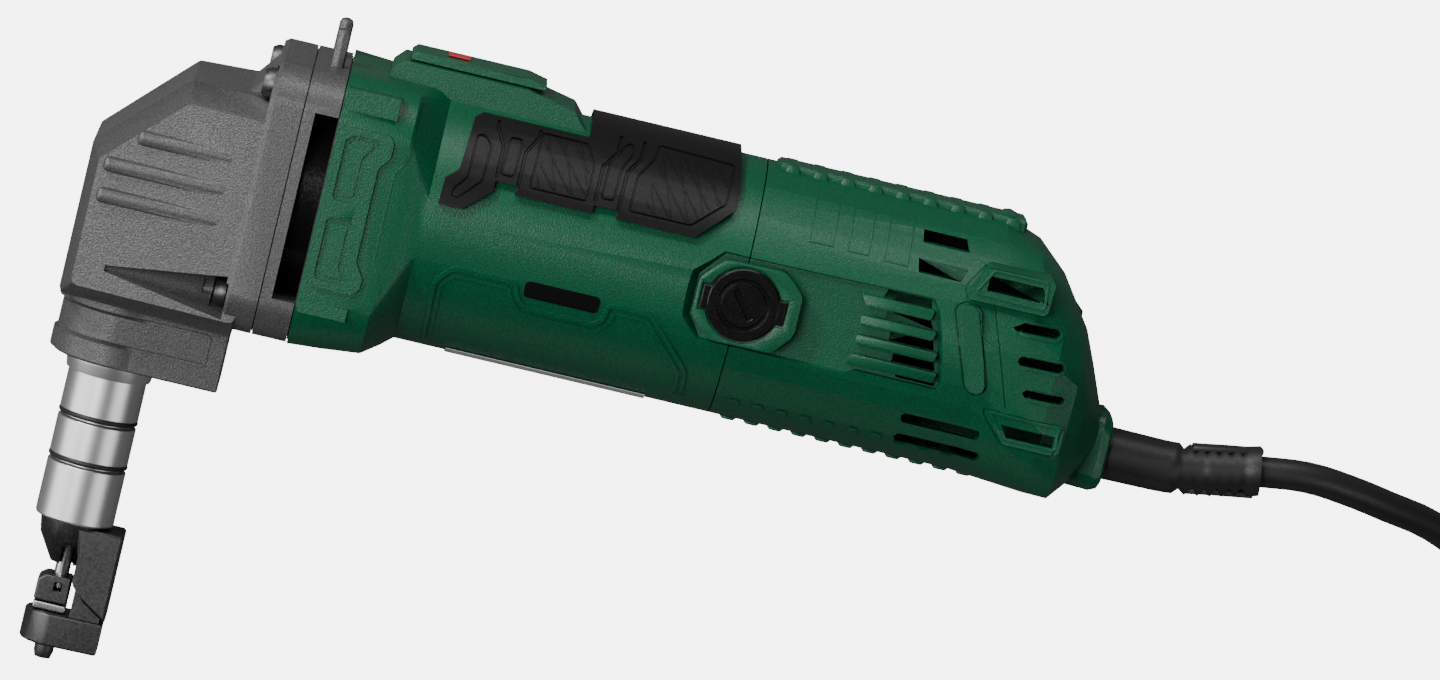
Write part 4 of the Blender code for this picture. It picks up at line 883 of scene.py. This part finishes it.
def make_motor_shell():
    """The motor body: sunken panel round the brush, raised line panel, collar plates and blank plate."""
    shell = shell_of("motor_housing")
    tree = tree_of(shell)
    boolean(shell, both(sunk_floor(120.0, 154.2)), "UNION")
    brush_boss = prism("boss", softened(BOSS, 1.5), POCKET_LEVEL - 0.6, 33.9)
    boolean(brush_boss, [prism("cap_seat", ring_outline(BRUSH_X, MOTOR_Y, 9.6), 33.0, 36.0)], "DIFFERENCE")
    ears = [(BRUSH_X + x, MOTOR_Y + y) for x, y in ((-11.0, -3.5), (11.0, -3.5), (11.0, 3.5), (-11.0, 3.5))]
    boolean(brush_boss, [prism("ear_seat", ears, 33.05, 36.0)], "DIFFERENCE")
    boolean(brush_boss, [prism("brush_way", ring_outline(BRUSH_X, MOTOR_Y, 6.2), 20.0, 36.0)], "DIFFERENCE")
    boolean(shell, both(pocket_cutter()), "DIFFERENCE")
    place_both("brush_boss", brush_boss, "green_plastic", edge=0.45)
    finish_shell(shell, "motor_housing", 0.32, degrees=30.0)

    lines = [ridge("panel_edge", tree, softened(LINE_PANEL, 1.6, 3, False), 1.0, 0.55)]
    lines.append(ridge("panel_step", tree, softened(PANEL_STEP, 1.2, 3, False), 0.9, 0.34))
    for outline in COLLAR_PLATES:
        lines.append(plate("collar_plate", tree, softened(outline, 0.5, 2), 0.38))
    lines.append(ridge("collar_edge", tree, softened(COLLAR_EDGE, 1.0, 3, False), 0.6, 0.16))
    badge = plate("blank_plate", tree, softened(BADGE, 1.3), 0.18)
    place_both("panel_lines", joined("panel_lines", lines), "green_plastic")
    place_both("blank_plate", badge, "black_plastic")


def ring_outline(x, y, radius, sides=48):
    return [
        (x + radius * math.cos(2 * math.pi * k / sides), y + radius * math.sin(2 * math.pi * k / sides))
        for k in range(sides)
    ]


def make_grip_shell():
    """The rubber grip: bordered pads with a net of fine lines, and two straps between sunk seams."""
    shell = shell_of("rubber_grip")
    tree = tree_of(shell)
    cuts = []
    for outline in GRIP_INSETS:
        cuts += both(groove("inset_line", tree, softened(outline, 0.8, 2), 0.6, 0.6, closed=True))
    for outline in GRIP_PADS:
        cuts += both(groove("pad_line", tree, softened(outline, 0.6, 2), 0.6, 0.6, closed=True))
    for path in GRIP_SEAMS:
        cuts += both(groove("seam", tree, path, 0.9, 0.8))
    for cutter in cuts:
        boolean(shell, [cutter], "DIFFERENCE")
    finish_shell(shell, "rubber_grip", 0.22)

    lines = []
    for outline in GRIP_PADS:
        inner = shrunk(outline, 0.9)
        low = min(x for x, _ in inner)
        high = max(x for x, _ in inner)
        for fall in NET_FALLS:
            x = low - NET_REACH
            while x < high + NET_REACH:
                line = clipped((x, NET_TOP), (x + (NET_TOP - NET_FOOT) / fall, NET_FOOT), inner)
                if line and math.dist(*line) > 1.5:
                    lines.append(ridge("net", tree, list(line), 0.26, 0.30))
                x += NET_PITCH
    place_both("grip_net", joined("grip_net", lines), "grip_rubber")


def make_rear_shells():
    """Half covers with the sunken louvres, framed windows, slanted pad, fine seam and serrated edges."""
    shell = shell_of("rear_cover_left")
    tree = tree_of(shell)
    boolean(shell, [sunk_floor(154.7, 212.0)], "UNION")
    boolean(shell, [pocket_cutter()], "DIFFERENCE")
    vents = [prism("vent", outline, 20.0, 36.0) for outline in VENTS]
    boolean(shell, vents, "DIFFERENCE")
    cuts = [groove("stadium_line", tree, softened(shrunk(STADIUM, -0.5), 1.2), 0.5, 0.5, closed=True)]
    cuts.append(groove("cover_seam", tree, [(215.9, 34.2), (224.4, 9.9)], 0.4, 0.4))
    for outline in WINDOW_GROOVES:
        cuts.append(groove("window_line", tree, softened(outline, 0.8, 2), 0.45, 0.4, closed=True))
    for cutter in cuts:
        boolean(shell, [cutter], "DIFFERENCE")
    right = mirrored(shell)
    right.name = "rear_cover_right_shell"
    finish_shell(shell, "rear_cover_left", 0.3, degrees=14.0)
    finish_shell(right, "rear_cover_right", 0.3, degrees=14.0)

    pieces = []
    for outline in RIBS:
        pieces.append(plate("louvre_rib", tree, softened(outline, 0.5, 2), -0.15, depth=3.2))
    for (x0, x1), (y0, y1) in REAR_SLOTS:
        half = (y1 - y0) / 2
        middle, left, right_end = y0 + half, x0 + half, x1 - half * 0.8
        outline = [(x0, middle), (left, y1), (right_end, y1), (x1, middle), (right_end, y0), (left, y0)]
        pieces.append(ridge("slot_rim", tree, softened(outline, 0.8, 2), 0.5, 0.25, closed=True))
    for outline in WINDOW_RIDGES:
        pieces.append(ridge("window_rim", tree, softened(outline, 0.8, 2), 0.6, 0.28, closed=True))
    for k in range(10):
        left = 158.0 + BELLY_PITCH * k
        pad = [(left, -6.6), (left + 3.0, -6.6), (left + 2.6, -5.2), (left + 0.4, -5.2)]
        pieces.append(plate("belly_pad", tree, pad, 0.45))
    for (x0, x1), foot in EMBOSSED:
        path = [(x0, EMBOSS_TOP), (x0, foot), (x1, foot), (x1, EMBOSS_TOP)]
        pieces.append(ridge("emboss", tree, path, 0.34, 0.22))
    place_both("rear_details", joined("rear_details", pieces), "green_plastic", edge=0.12)


def make_serrations():
    """Teeth along the belly and notched blocks along the top rail."""
    teeth = []
    for k in range(14):
        x = 157.4 + BELLY_PITCH * k
        base = MOTOR_Y - MOTOR_RADIUS
        outline = [(x, base + 0.6), (x + 0.8, base - 0.2), (x + 3.6, base - 0.2), (x + 4.4, base + 0.6)]
        teeth.append(prism("tooth", outline, -6.0, 6.0))
    blocks = []
    for k in range(9):
        x = 158.6 + RAIL_PITCH * k
        block = [(x, 50.2), (x + 4.3, 50.2), (x + 3.6, 53.5), (x + 0.7, 53.5)]
        for low, high in ((5.6, 7.9), (-7.9, -5.6)):
            blocks.append(prism("rail_block", block, low, high))
    place(joined("belly_teeth", teeth), "green_plastic", edge=0.3)
    place(joined("rail_blocks", blocks), "green_plastic", edge=0.25)


def turned_ring(name, y, radius, thick, sides=72, steps=10):
    """A round ring about the nose's line."""
    verts = []
    for k in range(sides):
        angle = 2 * math.pi * k / sides
        for m in range(steps):
            turn = 2 * math.pi * m / steps
            reach = radius + thick * math.cos(turn)
            x, z = PUNCH_X + reach * math.cos(angle), reach * math.sin(angle)
            verts.append((x, y + thick * math.sin(turn), z))
    faces = []
    for k in range(sides):
        for m in range(steps):
            a, b = k * steps, ((k + 1) % sides) * steps
            n = (m + 1) % steps
            faces.append([a + m, b + m, b + n, a + n])
    made = mesh_object(name, verts, faces)
    outward(made)
    return made


def frame_outline(half_y, half_z, radius, steps=6):
    """A rounded rectangle about the flange's middle, as (y, z)."""
    points = []
    for corner, (side_y, side_z) in enumerate(((1, 1), (-1, 1), (-1, -1), (1, -1))):
        for i in range(steps + 1):
            angle = math.radians(90 * (corner + i / steps))
            y = side_y * (half_y - radius) + radius * math.cos(angle)
            z = side_z * (half_z - radius) + radius * math.sin(angle)
            points.append((FLANGE_Y + y, z))
    return points


def make_gasket(name, x):
    """The dark paper joint between two flanges."""
    outer = frame_outline(FLANGE_HALF - 0.7, 33.3, 10.8)
    inner = frame_outline(FLANGE_HALF - 3.4, 30.6, 8.1)
    verts = [(x + side, y, z) for side in (-0.12, 0.12) for ring in (outer, inner) for y, z in ring]
    n = len(outer)
    faces = []
    for i in range(n):
        j = (i + 1) % n
        faces.append([i, j, n + j, n + i])
        faces.append([2 * n + j, 2 * n + i, 3 * n + i, 3 * n + j])
        faces.append([i, j, 2 * n + j, 2 * n + i])
        faces.append([n + j, n + i, 3 * n + i, 3 * n + j])
    made = mesh_object(name, verts, faces)
    outward(made)
    place(made, "cable_rubber")


def make_inner_walls():
    """The fan's guide ring behind the air slots and the rib on the rear housing's joint."""
    ring = cylinder_along_x("air_guide", 30.2, 39.5, 47.9)
    boolean(ring, [cylinder_along_x("air_way", 28.7, 39.0, 48.4)], "DIFFERENCE")
    place(ring, "black_plastic")
    rib = [(202.0, -8.0), (202.0, 7.0), (213.0, 9.0), (213.0, 31.0), (190.0, 31.0), (190.0, 45.0)]
    rib += [(228.0, 45.0), (240.0, 34.0), (242.0, 6.0), (236.0, -4.0)]
    place(prism("rear_rib", rib, -1.2, 1.2), "green_plastic")


def make_relief_webs():
    """Webs that join the ribs of the strain relief above and below, and a neck round its root."""
    path = [(275.0, 1.8), (283.0, 3.2), (292.6, 4.7)]
    webs = []
    for side, middle in ((1, 0.0), (-1, -0.8)):
        inner = [(x, y + middle + side * 4.4) for x, y in path]
        outer = [(x, y + middle + side * 5.9) for x, y in reversed(path)]
        webs.append(prism("relief_web", inner + outer, -2.6, 2.6))
    place(joined("relief_webs", webs), "cable_rubber", edge=0.3)
    neck = prism("relief_neck", [(252.4, -3.8), (255.6, -3.8), (255.6, 4.8), (252.4, 4.8)], -4.3, 4.3)
    place(neck, "cable_rubber", edge=0.8)


def make_head_details():
    """The seals of the nose, the cast line round the head's foot, and the paper joints of the flanges."""
    for name, y in zip(("upper_seal", "lower_seal"), NOSE_GROOVES):
        place(turned_ring(name, y - 0.2, 9.45, 0.72), "cable_rubber", body="nose")
    tree = tree_of(frame["nodes"]["gear_head"])
    band = ridge("cast_line", tree, softened(CAST_LINE, 0.8, 2, False), 0.7, 0.42)
    place_both("cast_line", band, "cast_grey")
    make_gasket("head_gasket", 39.2)
    make_gasket("motor_gasket", 48.15)


def make_shells():
    make_motor_shell()
    make_grip_shell()
    make_rear_shells()
    make_serrations()
    make_head_details()
    make_inner_walls()
    make_relief_webs()
    for node, edge in (
        ("gear_head", 0.9),
        ("bearing_flange", 0.5),
        ("slide_switch", 0.4),
        ("die_holder", 0.25),
        ("die", 0.2),
        ("strain_relief", 0.0),
        ("plug", 0.6),
        ("barrel", 0.15),
        ("nose_ring", 0.2),
        ("punch", 0.0),
        ("die_screw", 0.15),
        ("die_plate", 0.1),
        ("head_screw_upper_left", 0.2),
        ("head_screw_lower_left", 0.2),
        ("head_screw_upper_right", 0.2),
        ("head_screw_lower_right", 0.2),
        ("brush_cap_left", 0.25),
        ("brush_cap_right", 0.25),
    ):
        finish_shell(shell_of(node), node, edge)


make_camera()
make_floor()
make_lights()
dress_frame()
make_cord()
make_shells()
